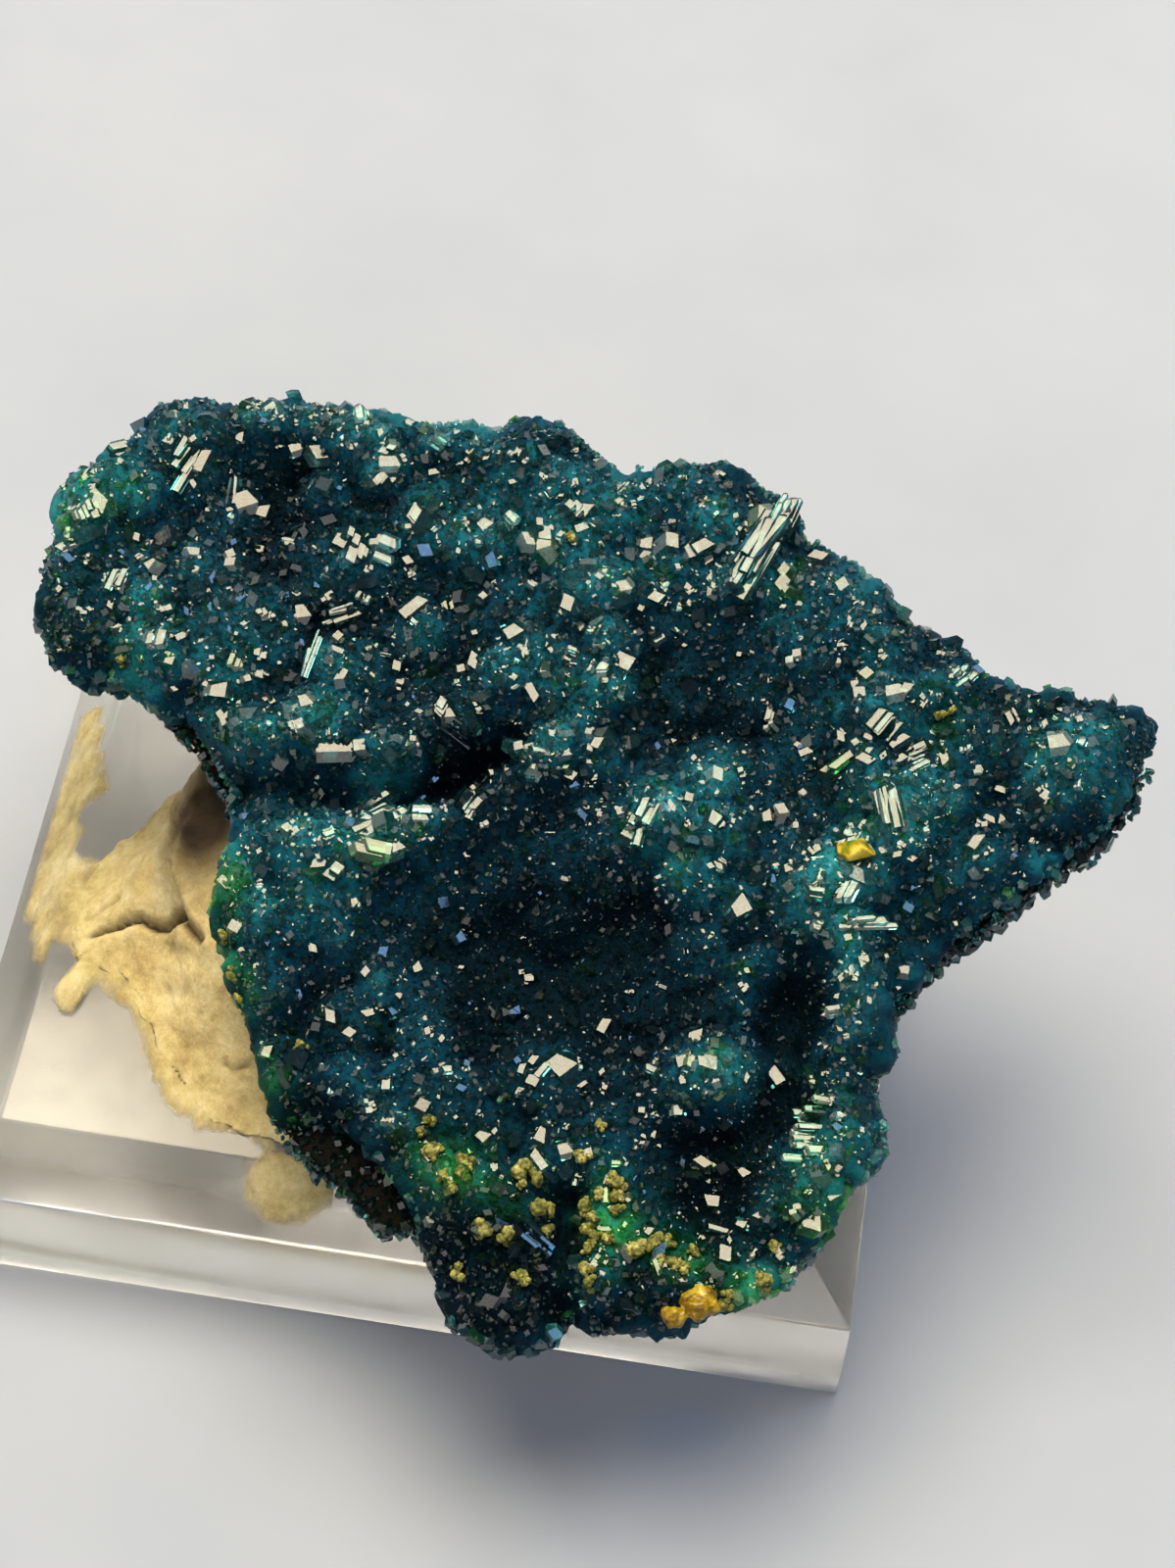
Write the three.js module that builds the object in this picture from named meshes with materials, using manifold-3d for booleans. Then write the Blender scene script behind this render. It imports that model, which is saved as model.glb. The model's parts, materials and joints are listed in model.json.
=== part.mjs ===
import * as THREE from "three";
import { mergeVertices } from "three/addons/utils/BufferGeometryUtils.js";
import Module from "manifold-3d";

const wasm = await Module();
wasm.setup();

// Driving dimensions in millimetres, turns in degrees
const BASE_WIDTH = 32;
const BASE_HEIGHT = 6.5;
const BASE_BEVEL = 2;
const PLATE_AT = [4.8, -5.7, 16];
const PLATE_TURN = [22, -4, 11];
const PLATE_THICK = 4.3;
const CRUST_THICK = 1.5;
const CRUST_RIM = 2.7;
const GAP = 0.06;
const CRUST_STEP = 1.5;
const ROCK_STEP = 2.8;
const CRYSTAL_SPACING = 3.4;
const RIM_SPACING = 5;
const BALL_RADIUS = 0.42;

// The edge of the crystal crust, clockwise from the top left corner, in the plane of the plate
const CRUST_EDGE = [
  [-14.7, 17.3], [-13.3, 17.6], [-12.3, 17.1], [-11.0, 17.2], [-8.3, 16.8], [-5.4, 15.8],
  [-2.8, 15.3], [-2.1, 15.8], [-1.3, 15.9], [-0.3, 15.3], [0.7, 14.6], [1.5, 13.5],
  [2.8, 13.7], [3.9, 14.0], [5.3, 13.9], [6.2, 13.0], [7.4, 11.9], [7.9, 10.8],
  [9.6, 9.6], [11.3, 7.6], [13.2, 6.5], [13.6, 5.6], [14.6, 5.0], [16.9, 4.5],
  [18.9, 4.0], [19.5, 3.3], [19.0, 2.3], [18.3, 1.0], [17.3, -0.3], [15.3, -1.4],
  [14.0, -2.4], [11.8, -3.8], [11.0, -4.8], [9.8, -5.7], [9.8, -7.3], [9.0, -8.7],
  [9.4, -9.9], [9.2, -10.9], [7.6, -12.5], [6.8, -14.0], [6.0, -14.9], [3.9, -15.7],
  [1.8, -16.5], [-0.6, -16.2], [-1.5, -15.7], [-1.7, -16.5], [-3.6, -16.9], [-5.1, -15.9],
  [-5.7, -14.3], [-6.2, -13], [-6.3, -11.5], [-7.8, -9.7], [-9.0, -8.8], [-10.8, -8.7],
  [-11.4, -7.2], [-12.4, -3.6], [-13.1, -1.5], [-12.6, 0.1], [-11.9, 0.7], [-12.2, 2.7],
  [-13.4, 5.3], [-14.8, 6.3], [-16.3, 7.4], [-17.7, 7.5], [-18.6, 8.1], [-19.0, 9.5],
  [-18.9, 11.2], [-18.2, 12.8], [-18.4, 14.1], [-17.1, 15.2], [-15.7, 16.2],
];

// The edge of the dark rock plate, which stands clear of the crust along the lower edges
const ROCK_EDGE = [
  [-14.2, 16.0], [-12.4, 16.0], [-9.6, 15.9], [-6.6, 15.1], [-3.0, 14.1], [-0.8, 14.2],
  [0.4, 13.2], [1.6, 12.3], [4.2, 12.7], [5.6, 12.2], [6.9, 10.5], [8.4, 9.1],
  [10.2, 7.2], [11.8, 6.0], [12.9, 4.5], [15.2, 3.7], [18.3, 3.0], [19.1, 1.9],
  [18.5, 0.6], [17.5, -0.7], [15.4, -1.9], [14.1, -2.9], [11.9, -4.3], [10.6, -5.6],
  [8.7, -7.4], [8.2, -9.0], [8.2, -11.0], [6.8, -12.5], [5.8, -14.3], [3.6, -15.0],
  [0.3, -15.3], [-1.7, -14.8], [-3.4, -15.7], [-4.3, -14.9], [-5.6, -13.3], [-6.4, -12.6],
  [-7.6, -12.9], [-8.8, -11.4], [-10.1, -10.2], [-11.2, -8.7], [-11.0, -7.2], [-11.4, -5.4],
  [-12.2, -2.4], [-11.9, -0.2], [-11.5, 0.6], [-12.5, 2.1], [-13.5, 4.3], [-14.7, 5.8],
  [-16.4, 7.6], [-17.5, 8.1], [-18.1, 9.4], [-17.9, 11.0], [-17.3, 12.7], [-16.3, 14.5],
];

// Broad swellings and hollows: middle, half-widths along and across, turn and height
const SWELLS = [
  { at: [-9.0, 10.0], wide: [8.0, 5.0], turn: -6, up: 1.0 },
  { at: [-8.2, 9.3], wide: [5.2, 3.0], turn: -10, up: -0.5 },
  { at: [-10.4, 13.0], wide: [2.4, 1.7], turn: 20, up: -0.9 },
  { at: [9.0, 5.0], wide: [7.5, 5.0], turn: -20, up: 0.4 },
  { at: [4.7, 4.8], wide: [3.4, 2.2], turn: -30, up: -1.1 },
  { at: [12.5, 2.0], wide: [3.0, 1.6], turn: -35, up: -0.6 },
  { at: [-1.0, -4.4], wide: [5.2, 2.9], turn: -8, up: -2.0 },
  { at: [1.4, -2.7], wide: [2.2, 1.0], turn: 10, up: -0.6 },
  { at: [3.3, 0.4], wide: [2.2, 1.2], turn: -12, up: 1.1 },
  { at: [7.7, -1.9], wide: [1.7, 1.2], turn: -30, up: 1.1 },
  { at: [6.5, -5.7], wide: [1.3, 1.4], turn: 0, up: -2.0 },
  { at: [6.1, -8.6], wide: [0.9, 1.8], turn: 15, up: -1.7 },
  { at: [3.4, -10.1], wide: [1.8, 0.8], turn: 10, up: -1.4 },
  { at: [3.3, -7.8], wide: [1.7, 1.5], turn: 20, up: 1.2 },
  { at: [3.7, -12.2], wide: [2.2, 1.2], turn: 15, up: -1.6 },
  { at: [-3.2, -15.4], wide: [1.5, 1.1], turn: 0, up: 0.4 },
  { at: [-10.7, -2.0], wide: [1.3, 1.2], turn: 0, up: 0.8 },
  { at: [-8.6, -5.8], wide: [2.2, 1.8], turn: 30, up: -0.5 },
];

// Ridges and creases that run along a path: half-width and height
const FOLDS = [
  { along: [[-17.1, 14.0], [-18.0, 10.6], [-17.4, 8.3]], wide: 1.0, up: 0.7 },
  { along: [[-14.0, 16.0], [-9.8, 15.8], [-4.6, 14.7], [-0.9, 14.4]], wide: 1.2, up: 0.7 },
  { along: [[-14.0, 3.4], [-10.0, 2.5], [-6.8, 1.9]], wide: 0.7, up: -0.7 },
  { along: [[-6.2, 1.9], [-5.0, 2.3], [-3.6, 3.1], [-2.6, 3.8]], wide: 0.6, up: -1.8 },
  { along: [[-13.0, 4.9], [-9.0, 4.0], [-5.9, 4.0], [-3.5, 5.2]], wide: 1.0, up: 0.8 },
  { along: [[-11.5, 1.0], [-7.8, 0.2], [-4.0, 1.3], [-0.9, 2.7], [0.2, 4.6], [0.3, 8.4]], wide: 1.1, up: 1.2 },
  { along: [[9.4, 3.8], [10.0, 1.5], [10.3, -0.8]], wide: 0.9, up: 1.0 },
  { along: [[7.3, 11.6], [6.2, 10.0], [5.1, 8.5]], wide: 0.7, up: 1.2 },
  { along: [[8.3, -5.2], [8.9, -7.3], [8.0, -9.5], [8.0, -11.3], [6.5, -13.2]], wide: 1.0, up: 0.9 },
  { along: [[-10.6, -6.6], [-8.6, -8.1], [-6.1, -10.2], [-4.4, -11.9]], wide: 0.9, up: 0.7 },
  { along: [[-3.4, -13.6], [0.5, -15.0], [4.4, -14.9]], wide: 0.9, up: 0.5 },
  { along: [[-1.3, -11.8], [-1.4, -13.6], [-1.5, -15.8]], wide: 0.55, up: -1.6 },
];

// Tufts of larger crystals: place, lean direction, lean, length and radius
const TUFTS = [
  { at: [-8.6, 3.9], way: -95, lean: 30, count: 2, length: 2.8, radius: 0.75 },
  { at: [-7.0, 0.8], way: 60, lean: 40, count: 3, length: 2.6, radius: 0.7 },
  { at: [6.2, 10.1], way: 60, lean: 55, count: 4, length: 3.4, radius: 0.6 },
  { at: [10.1, 1.4], way: 95, lean: 50, count: 3, length: 2.8, radius: 0.6 },
  { at: [8.0, -2.9], way: 185, lean: 45, count: 2, length: 2.6, radius: 0.7 },
  { at: [7.8, -9.9], way: 80, lean: 50, count: 3, length: 2.6, radius: 0.6 },
];

// Strings of small round mineral balls along the lower edge: path and number of balls
const BALL_STRINGS = [
  { name: "yellow_balls_left", along: [[-5.8, -9.3], [-5.2, -10.2]], count: 4 },
  { name: "yellow_balls_middle", along: [[-2.5, -11.0], [-2.1, -12.6]], count: 5 },
  { name: "yellow_balls_centre", along: [[-0.1, -12.0], [-0.4, -13.6]], count: 5 },
  { name: "yellow_balls_right", along: [[1.4, -13.6], [2.6, -14.0]], count: 4 },
];

// Repeatable chance, the same on every run
function chance(seed) {
  let state = seed;
  return () => {
    state = (Math.imul(state, 1664525) + 1013904223) >>> 0;
    return state / 4294967296;
  };
}

// A soft bell over one swelling
function swell(u, v, form) {
  const turn = THREE.MathUtils.degToRad(form.turn);
  const du = u - form.at[0];
  const dv = v - form.at[1];
  const along = (du * Math.cos(turn) + dv * Math.sin(turn)) / form.wide[0];
  const across = (dv * Math.cos(turn) - du * Math.sin(turn)) / form.wide[1];
  return form.up * Math.exp(-along * along - across * across);
}

// How far a point lies from a path of straight stretches
function distanceTo(u, v, path, closed) {
  let nearest = Infinity;
  const stretches = closed ? path.length : path.length - 1;
  for (let i = 0; i < stretches; i += 1) {
    const [au, av] = path[i];
    const [bu, bv] = path[(i + 1) % path.length];
    const length = (bu - au) ** 2 + (bv - av) ** 2;
    const share = THREE.MathUtils.clamp(((u - au) * (bu - au) + (v - av) * (bv - av)) / length, 0, 1);
    nearest = Math.min(nearest, Math.hypot(u - au - share * (bu - au), v - av - share * (bv - av)));
  }
  return nearest;
}

// Height of the crust's face above the plane of the plate
function crustTop(u, v) {
  let height = 0;
  for (const form of SWELLS) {
    height += swell(u, v, form);
  }
  for (const fold of FOLDS) {
    height += fold.up * Math.exp(-((distanceTo(u, v, fold.along, false) / fold.wide) ** 2));
  }
  const rounding = Math.max(0, 1 - distanceTo(u, v, CRUST_EDGE, true) / 1.6);
  return Math.max(height, -2.5) - 0.8 * rounding * rounding;
}

// Height of the rock under the crust, which follows the crust's face more gently
function rockTop(u, v) {
  return 0.5 * crustTop(u, v) - CRUST_THICK;
}

// Height of the rough underside of the rock, thinner towards the edge
function rockUnder(u, v) {
  const lumps = 0.25 * Math.sin(0.8 * u + 0.5) * Math.cos(0.7 * v - 0.3) + 0.15 * Math.sin(1.3 * v + 0.6 * u);
  const edge = Math.max(0, 1 - distanceTo(u, v, ROCK_EDGE, true) / 4);
  return -PLATE_THICK + lumps + 0.6 * edge * edge;
}

// Turns a closed geometry into a solid
function solid(geometry) {
  const plain = geometry.clone();
  plain.deleteAttribute("normal");
  plain.deleteAttribute("uv");
  const merged = mergeVertices(plain, 0.0001);
  const vertProperties = Float32Array.from(merged.attributes.position.array);
  const triVerts = Uint32Array.from(merged.index.array);
  return new wasm.Manifold(new wasm.Mesh({ numProp: 3, vertProperties, triVerts }));
}

// Turns a solid back into a geometry with flat faces
function shape(body) {
  const mesh = body.getMesh();
  const geometry = new THREE.BufferGeometry();
  geometry.setAttribute("position", new THREE.BufferAttribute(Float32Array.from(mesh.vertProperties), 3));
  geometry.setIndex(new THREE.BufferAttribute(Uint32Array.from(mesh.triVerts), 1));
  const flat = geometry.toNonIndexed();
  flat.computeVertexNormals();
  return flat;
}

// A slab over the whole plate between two heights, with its grid shaken a little
function slab(top, under, step, seed) {
  const width = 42;
  const columns = Math.round(width / step);
  const geometry = new THREE.BoxGeometry(width, width, 1, columns, columns, 1);
  const place = geometry.attributes.position;
  for (let i = 0; i < place.count; i += 1) {
    const u = place.getX(i);
    const v = place.getY(i);
    const roll = chance(Math.round((u + 50) * 900 + (v + 50) * 77) + seed);
    roll();
    const inside = Math.max(Math.abs(u), Math.abs(v)) < width / 2 - 0.01 ? 0.6 * step : 0;
    const shakenU = u + (roll() - 0.5) * inside;
    const shakenV = v + (roll() - 0.5) * inside;
    const height = place.getZ(i) > 0 ? top(shakenU, shakenV) : under(shakenU, shakenV);
    place.setXYZ(i, shakenU, shakenV, height);
  }
  return solid(geometry);
}

// A wall round an outline, which draws in below the waist as the broken edge of the plate does
function wall(outline) {
  const face = new THREE.Shape(outline.map(([u, v]) => new THREE.Vector2(u, v)));
  const geometry = new THREE.ExtrudeGeometry(face, { depth: 2, steps: 2, bevelEnabled: false });
  const place = geometry.attributes.position;
  const rings = [[-6, 0.9], [-1, 1], [9, 1]];
  for (let i = 0; i < place.count; i += 1) {
    const [height, scale] = rings[Math.round(place.getZ(i))];
    place.setXYZ(i, place.getX(i) * scale, place.getY(i) * scale, height);
  }
  return solid(geometry);
}

// The same outline moved outwards by a small distance
function widened(outline, distance) {
  return outline.map((point, i) => {
    const before = outline[(i + outline.length - 1) % outline.length];
    const after = outline[(i + 1) % outline.length];
    const along = new THREE.Vector2(after[0] - before[0], after[1] - before[1]).normalize();
    return [point[0] - along.y * distance, point[1] + along.x * distance];
  });
}

// One crystal: a six-sided prism that ends in three sloping faces
function crystal(radius, length) {
  const geometry = new THREE.CylinderGeometry(radius, radius * 0.96, length, 6, 1);
  const place = geometry.attributes.position;
  const slope = 0.62 * radius;
  for (let i = 0; i < place.count; i += 1) {
    const x = place.getX(i);
    const z = place.getZ(i);
    if (place.getY(i) > 0) {
      const corner = Math.round(Math.atan2(x, z) / (Math.PI / 3));
      const drop = Math.hypot(x, z) < 0.01 ? 0 : Math.abs(corner % 2) === 1 ? 2 * slope : slope;
      place.setY(i, length / 2 - drop);
    }
  }
  return geometry;
}

// A crystal stood on the plate, leaning out of the surface
function planted(at, height, axis, spin, radius, length) {
  const geometry = crystal(radius, length);
  geometry.rotateY(spin);
  const up = new THREE.Vector3(0, 1, 0);
  geometry.applyQuaternion(new THREE.Quaternion().setFromUnitVectors(up, axis.clone().normalize()));
  geometry.translate(at[0], at[1], height);
  return solid(geometry);
}

// Whether a point is inside an outline
function within(u, v, outline) {
  let inside = false;
  for (let i = 0; i < outline.length; i += 1) {
    const [au, av] = outline[i];
    const [bu, bv] = outline[(i + 1) % outline.length];
    if (av > v !== bv > v && u < au + ((v - av) / (bv - av)) * (bu - au)) {
      inside = !inside;
    }
  }
  return inside;
}

// The direction straight out of the crust's face
function outward(u, v) {
  const reach = 0.5;
  const slopeU = (crustTop(u + reach, v) - crustTop(u - reach, v)) / (2 * reach);
  const slopeV = (crustTop(u, v + reach) - crustTop(u, v - reach)) / (2 * reach);
  return new THREE.Vector3(-slopeU, -slopeV, 1).normalize();
}

// The larger crystals scattered over the whole face of the crust
function faceCrystals() {
  const roll = chance(41);
  const found = [];
  for (let u = -19; u < 20; u += CRYSTAL_SPACING) {
    for (let v = -17; v < 18; v += CRYSTAL_SPACING) {
      const at = [u + (roll() - 0.5) * 1.6, v + (roll() - 0.5) * 1.6];
      const axis = outward(at[0], at[1]);
      axis.x += (roll() - 0.5) * 1.1;
      axis.y += (roll() - 0.5) * 1.1;
      const radius = 0.55 + 0.45 * roll();
      const length = 2.2 + 0.6 * roll();
      const spin = roll() * Math.PI;
      if (within(at[0], at[1], CRUST_EDGE) && distanceTo(at[0], at[1], CRUST_EDGE, true) > 0.9) {
        found.push(planted(at, crustTop(at[0], at[1]) - 0.35, axis, spin, radius, length));
      }
    }
  }
  return found;
}

// The crystals that stand out round the rim and break its outline
function rimCrystals() {
  const roll = chance(77);
  const edge = new THREE.Path(CRUST_EDGE.map(([u, v]) => new THREE.Vector2(u, v)));
  edge.closePath();
  const count = Math.round(edge.getLength() / RIM_SPACING);
  const found = [];
  for (const [i, spot] of edge.getSpacedPoints(count).entries()) {
    const next = edge.getPointAt(((i + 0.2) / count) % 1);
    const along = next.sub(spot).normalize();
    const axis = new THREE.Vector3(-along.y, along.x, 0.3 + 0.7 * roll());
    const at = [spot.x + along.y * 0.7, spot.y - along.x * 0.7];
    const height = -0.7 - 0.9 * roll();
    found.push(planted(at, height, axis, roll() * Math.PI, 0.6 + 0.4 * roll(), 2.1));
  }
  return found;
}

// The tufts of long leaning crystals
function tuftCrystals() {
  const roll = chance(9);
  const found = [];
  for (const tuft of TUFTS) {
    for (let i = 0; i < tuft.count; i += 1) {
      const way = THREE.MathUtils.degToRad(tuft.way + (roll() - 0.5) * 30);
      const lean = THREE.MathUtils.degToRad(tuft.lean + (roll() - 0.5) * 24);
      const axis = new THREE.Vector3(Math.cos(way) * Math.sin(lean), Math.sin(way) * Math.sin(lean), Math.cos(lean));
      const at = [tuft.at[0] + (roll() - 0.5) * 1.8, tuft.at[1] + (roll() - 0.5) * 1.8];
      found.push(planted(at, crustTop(at[0], at[1]) - 0.1, axis, roll() * Math.PI, tuft.radius, tuft.length));
    }
  }
  return found;
}

// One string of round balls grown together, each a little off the path
function ballString(string, radius) {
  const roll = chance(string.name.length * 13);
  const path = new THREE.Path(string.along.map(([u, v]) => new THREE.Vector2(u, v)));
  let joined = null;
  for (const spot of path.getSpacedPoints(string.count - 1)) {
    const size = radius * (0.9 + 0.35 * roll());
    const ball = new THREE.DodecahedronGeometry(size, 0);
    ball.rotateX(roll() * Math.PI);
    const at = [spot.x + (roll() - 0.5) * 0.2, spot.y + (roll() - 0.5) * 0.2];
    ball.translate(at[0], at[1], crustTop(at[0], at[1]) + 0.1);
    joined = joined ? joined.add(solid(ball)) : solid(ball);
  }
  return joined;
}

// The orange nodule at the lower edge: three lumps grown together
function noduleSolid(extra) {
  const lumps = [[2.9, -15.5, 0.62], [3.4, -15.2, 0.5], [2.2, -15.8, 0.5]];
  let joined = null;
  for (const [u, v, size] of lumps) {
    const lump = new THREE.DodecahedronGeometry(size + extra, 0);
    lump.translate(u, v, crustTop(2.8, -15.0) + 0.35);
    joined = joined ? joined.add(solid(lump)) : solid(lump);
  }
  return joined;
}

// The angular yellow grain on the right side of the crust
function grainSolid(extra) {
  const grain = new THREE.DodecahedronGeometry(0.5 + extra, 0);
  grain.scale(1.2, 0.8, 0.8);
  grain.translate(8.9, -0.6, crustTop(8.9, -0.6) + 0.15);
  return solid(grain);
}

// Gives a solid its name, colour and finish
function piece(name, geometry, colour, roughness, extra) {
  const material = new THREE.MeshStandardMaterial({ color: colour, roughness, ...extra });
  const mesh = new THREE.Mesh(geometry, material);
  mesh.name = name;
  return mesh;
}

// The rock plate under the crust
function rockSolid() {
  return slab(rockTop, rockUnder, ROCK_STEP, 5).intersect(wall(ROCK_EDGE));
}

// The crust with its crystals, resting on the rock and wrapped round the rock's rim
function crustSolid() {
  const face = slab(crustTop, () => -CRUST_RIM, CRUST_STEP, 3);
  let crust = face.intersect(wall(CRUST_EDGE));
  for (const grown of [...faceCrystals(), ...rimCrystals(), ...tuftCrystals()]) {
    crust = crust.add(grown);
  }
  const rockBelow = slab((u, v) => rockTop(u, v) + GAP, () => -5.5, ROCK_STEP, 5);
  crust = crust.subtract(rockBelow.intersect(wall(widened(ROCK_EDGE, GAP))));
  for (const string of BALL_STRINGS) {
    crust = crust.subtract(ballString(string, BALL_RADIUS + 0.08));
  }
  crust = crust.subtract(noduleSolid(0.08));
  return crust.subtract(grainSolid(0.08));
}

// The clear block: straight sides, then a wide bevel round the top
function blockGeometry() {
  const geometry = new THREE.BoxGeometry(BASE_WIDTH, BASE_WIDTH, BASE_HEIGHT, 1, 1, 2);
  const place = geometry.attributes.position;
  for (let i = 0; i < place.count; i += 1) {
    const level = Math.round(place.getZ(i) / (BASE_HEIGHT / 2));
    const inset = level === 1 ? 1 - (2 * BASE_BEVEL) / BASE_WIDTH : 1;
    const height = level === 1 ? BASE_HEIGHT : level === 0 ? BASE_HEIGHT - BASE_BEVEL : 0;
    place.setXYZ(i, place.getX(i) * inset, place.getY(i) * inset, height);
  }
  geometry.computeVertexNormals();
  return geometry;
}

// The pressed lump of putty between the block and the rock
function puttySolid(placing) {
  const foot = [
    [6.2, -3.2], [5.4, 2.6], [1.0, 6.0], [-5.2, 5.6], [-10.8, 1.4], [-13.2, -3.4],
    [-12.6, -7.2], [-10.0, -10.9], [-6.4, -13.3], [0.2, -12.4], [4.8, -8.6],
  ];
  const levels = [[0.97, 0], [1.02, 0.5], [0.95, 1.3], [0.8, 2.3], [0.72, 4.2], [0.7, 6.5], [0.68, 9.5]];
  const curve = new THREE.CatmullRomCurve3(foot.map(([x, y]) => new THREE.Vector3(x, y, 0)), true);
  const sides = 34;
  const profile = [[0, 0], ...levels, [0, 9.5]].reverse().map(([out, up]) => new THREE.Vector2(out, up));
  const geometry = new THREE.LatheGeometry(profile, sides);
  const place = geometry.attributes.position;
  for (let i = 0; i < place.count; i += 1) {
    const out = Math.hypot(place.getX(i), place.getZ(i));
    const up = place.getY(i);
    const side = Math.atan2(place.getZ(i), place.getX(i)) / (2 * Math.PI);
    const spot = curve.getPointAt((side + 1) % 1);
    const fold = 1 + 0.06 * Math.sin(side * 40 + up * 1.7) * Math.min(1, up);
    const middle = [-2.6 + 0.1 * up, -3.2 + 0.2 * up];
    const x = middle[0] + (spot.x + 2.6) * out * fold;
    const y = middle[1] + (spot.y + 3.2) * out * fold;
    place.setXYZ(i, x, y, BASE_HEIGHT + GAP + up);
  }
  const above = slab(() => 30, (u, v) => rockUnder(u, v) - GAP, ROCK_STEP, 5);
  return solid(geometry).subtract(above.transform(placing.elements));
}

const group = new THREE.Group();
group.name = "dioptase_specimen";

const specimen = new THREE.Group();
specimen.name = "specimen";
specimen.position.set(...PLATE_AT);
specimen.rotation.set(...PLATE_TURN.map((angle) => THREE.MathUtils.degToRad(angle)));
specimen.updateMatrix();

const clear = { transparent: true, opacity: 0.45 };
group.add(piece("base_block", blockGeometry(), 0xe9ecec, 0.08, clear));
group.add(piece("mounting_putty", shape(puttySolid(specimen.matrix)), 0xcbb98c, 0.8, {}));

specimen.add(piece("matrix_rock", shape(rockSolid()), 0x2a211b, 0.9, {}));
specimen.add(piece("dioptase_crust", shape(crustSolid()), 0x0c5a5c, 0.25, {}));
for (const string of BALL_STRINGS) {
  specimen.add(piece(string.name, shape(ballString(string, BALL_RADIUS)), 0x9a8a35, 0.7, {}));
}
specimen.add(piece("orange_nodule", shape(noduleSolid(0)), 0xb8781c, 0.6, {}));
specimen.add(piece("yellow_grain", shape(grainSolid(0)), 0xb09a2a, 0.5, {}));
group.add(specimen);

export default group;
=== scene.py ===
import json
import math

import bpy
import numpy as np
from mathutils import Matrix, Vector

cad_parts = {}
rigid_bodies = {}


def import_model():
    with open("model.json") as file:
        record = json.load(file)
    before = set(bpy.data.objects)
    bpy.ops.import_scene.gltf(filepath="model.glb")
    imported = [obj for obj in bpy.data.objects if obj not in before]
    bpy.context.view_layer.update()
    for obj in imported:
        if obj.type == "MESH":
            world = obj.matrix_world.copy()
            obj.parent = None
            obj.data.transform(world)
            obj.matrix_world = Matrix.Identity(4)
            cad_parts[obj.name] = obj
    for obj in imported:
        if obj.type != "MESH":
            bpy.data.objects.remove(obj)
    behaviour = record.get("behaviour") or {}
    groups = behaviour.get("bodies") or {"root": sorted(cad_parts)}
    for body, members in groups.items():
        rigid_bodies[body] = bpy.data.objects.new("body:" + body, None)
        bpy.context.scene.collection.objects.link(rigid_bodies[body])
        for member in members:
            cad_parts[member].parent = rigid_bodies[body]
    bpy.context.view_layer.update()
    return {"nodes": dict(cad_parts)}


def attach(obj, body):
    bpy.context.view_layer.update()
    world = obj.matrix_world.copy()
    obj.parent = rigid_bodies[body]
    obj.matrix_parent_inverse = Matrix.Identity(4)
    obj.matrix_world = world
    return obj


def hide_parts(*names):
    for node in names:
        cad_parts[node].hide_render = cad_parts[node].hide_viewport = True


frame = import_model()
for loaded in bpy.data.objects:
    loaded.select_set(False)


# The camera: near the photograph's, looking steeply down on the specimen from the front,
# rolled a little so that the block's front edge falls to the right.
lens = bpy.data.cameras.new("camera")
camera = bpy.data.objects.new("camera", lens)
bpy.context.scene.collection.objects.link(camera)
CAMERA_AT = (0.0104207, -0.0816164, 0.1168394)
right = Vector((0.98816, 0.14396, 0.05307))
upward = Vector((-0.14607, 0.77678, 0.61260))
turned = Matrix((right, upward, right.cross(upward))).transposed().to_4x4()
camera.matrix_world = Matrix.Translation(CAMERA_AT) @ turned
lens.lens = 86.46
lens.sensor_width = 36
lens.clip_start = 0.005
lens.clip_end = 10
bpy.context.scene.camera = camera


# The floor: one pale matt sheet, wide enough to fill the view. The block stands on it, and
# its faint grain is that of paper.
def new_finish(name, sockets):
    """A new material, with these plain values on its surface shader."""
    finish = bpy.data.materials.new(name)
    finish.use_nodes = True
    for socket, value in sockets.items():
        finish.node_tree.nodes["Principled BSDF"].inputs[socket].default_value = value
    return finish


def add_node(finish, kind, values=(), links=(), **settings):
    """A new node with these settings, and these values and links on its sockets."""
    node = finish.node_tree.nodes.new("ShaderNode" + kind)
    for setting, value in settings.items():
        setattr(node, setting, value)
    for socket, value in dict(values).items():
        node.inputs[socket].default_value = value
    for socket, source in dict(links).items():
        finish.node_tree.links.new(source, node.inputs[socket])
    return node


def feed(finish, socket, source):
    """Leads a pattern into a socket of the surface shader."""
    finish.node_tree.links.new(source, finish.node_tree.nodes["Principled BSDF"].inputs[socket])


def ramp(finish, source, stops):
    """A colour ramp with these (place, colour) stops, driven by a value."""
    node = add_node(finish, "ValToRGB", links={"Fac": source})
    elements = node.color_ramp.elements
    while len(elements) < len(stops):
        elements.new(0.5)
    for element, (place, colour) in zip(elements, stops):
        element.position = place
        element.color = (*colour, 1.0)
    return node.outputs["Color"]


def noise(finish, scale, detail=4.0, rough=0.55, stretch=(1, 1, 1), turn=0.0):
    """A noise pattern on Object coordinates; scale is in bumps per metre."""
    where = add_node(finish, "TexCoord").outputs["Object"]
    laid = {"Scale": stretch, "Rotation": (0, 0, math.radians(turn))}
    placed = add_node(finish, "Mapping", laid, {"Vector": where}).outputs["Vector"]
    grain = {"Scale": scale, "Detail": detail, "Roughness": rough}
    return add_node(finish, "TexNoise", grain, {"Vector": placed}).outputs["Fac"]


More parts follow.
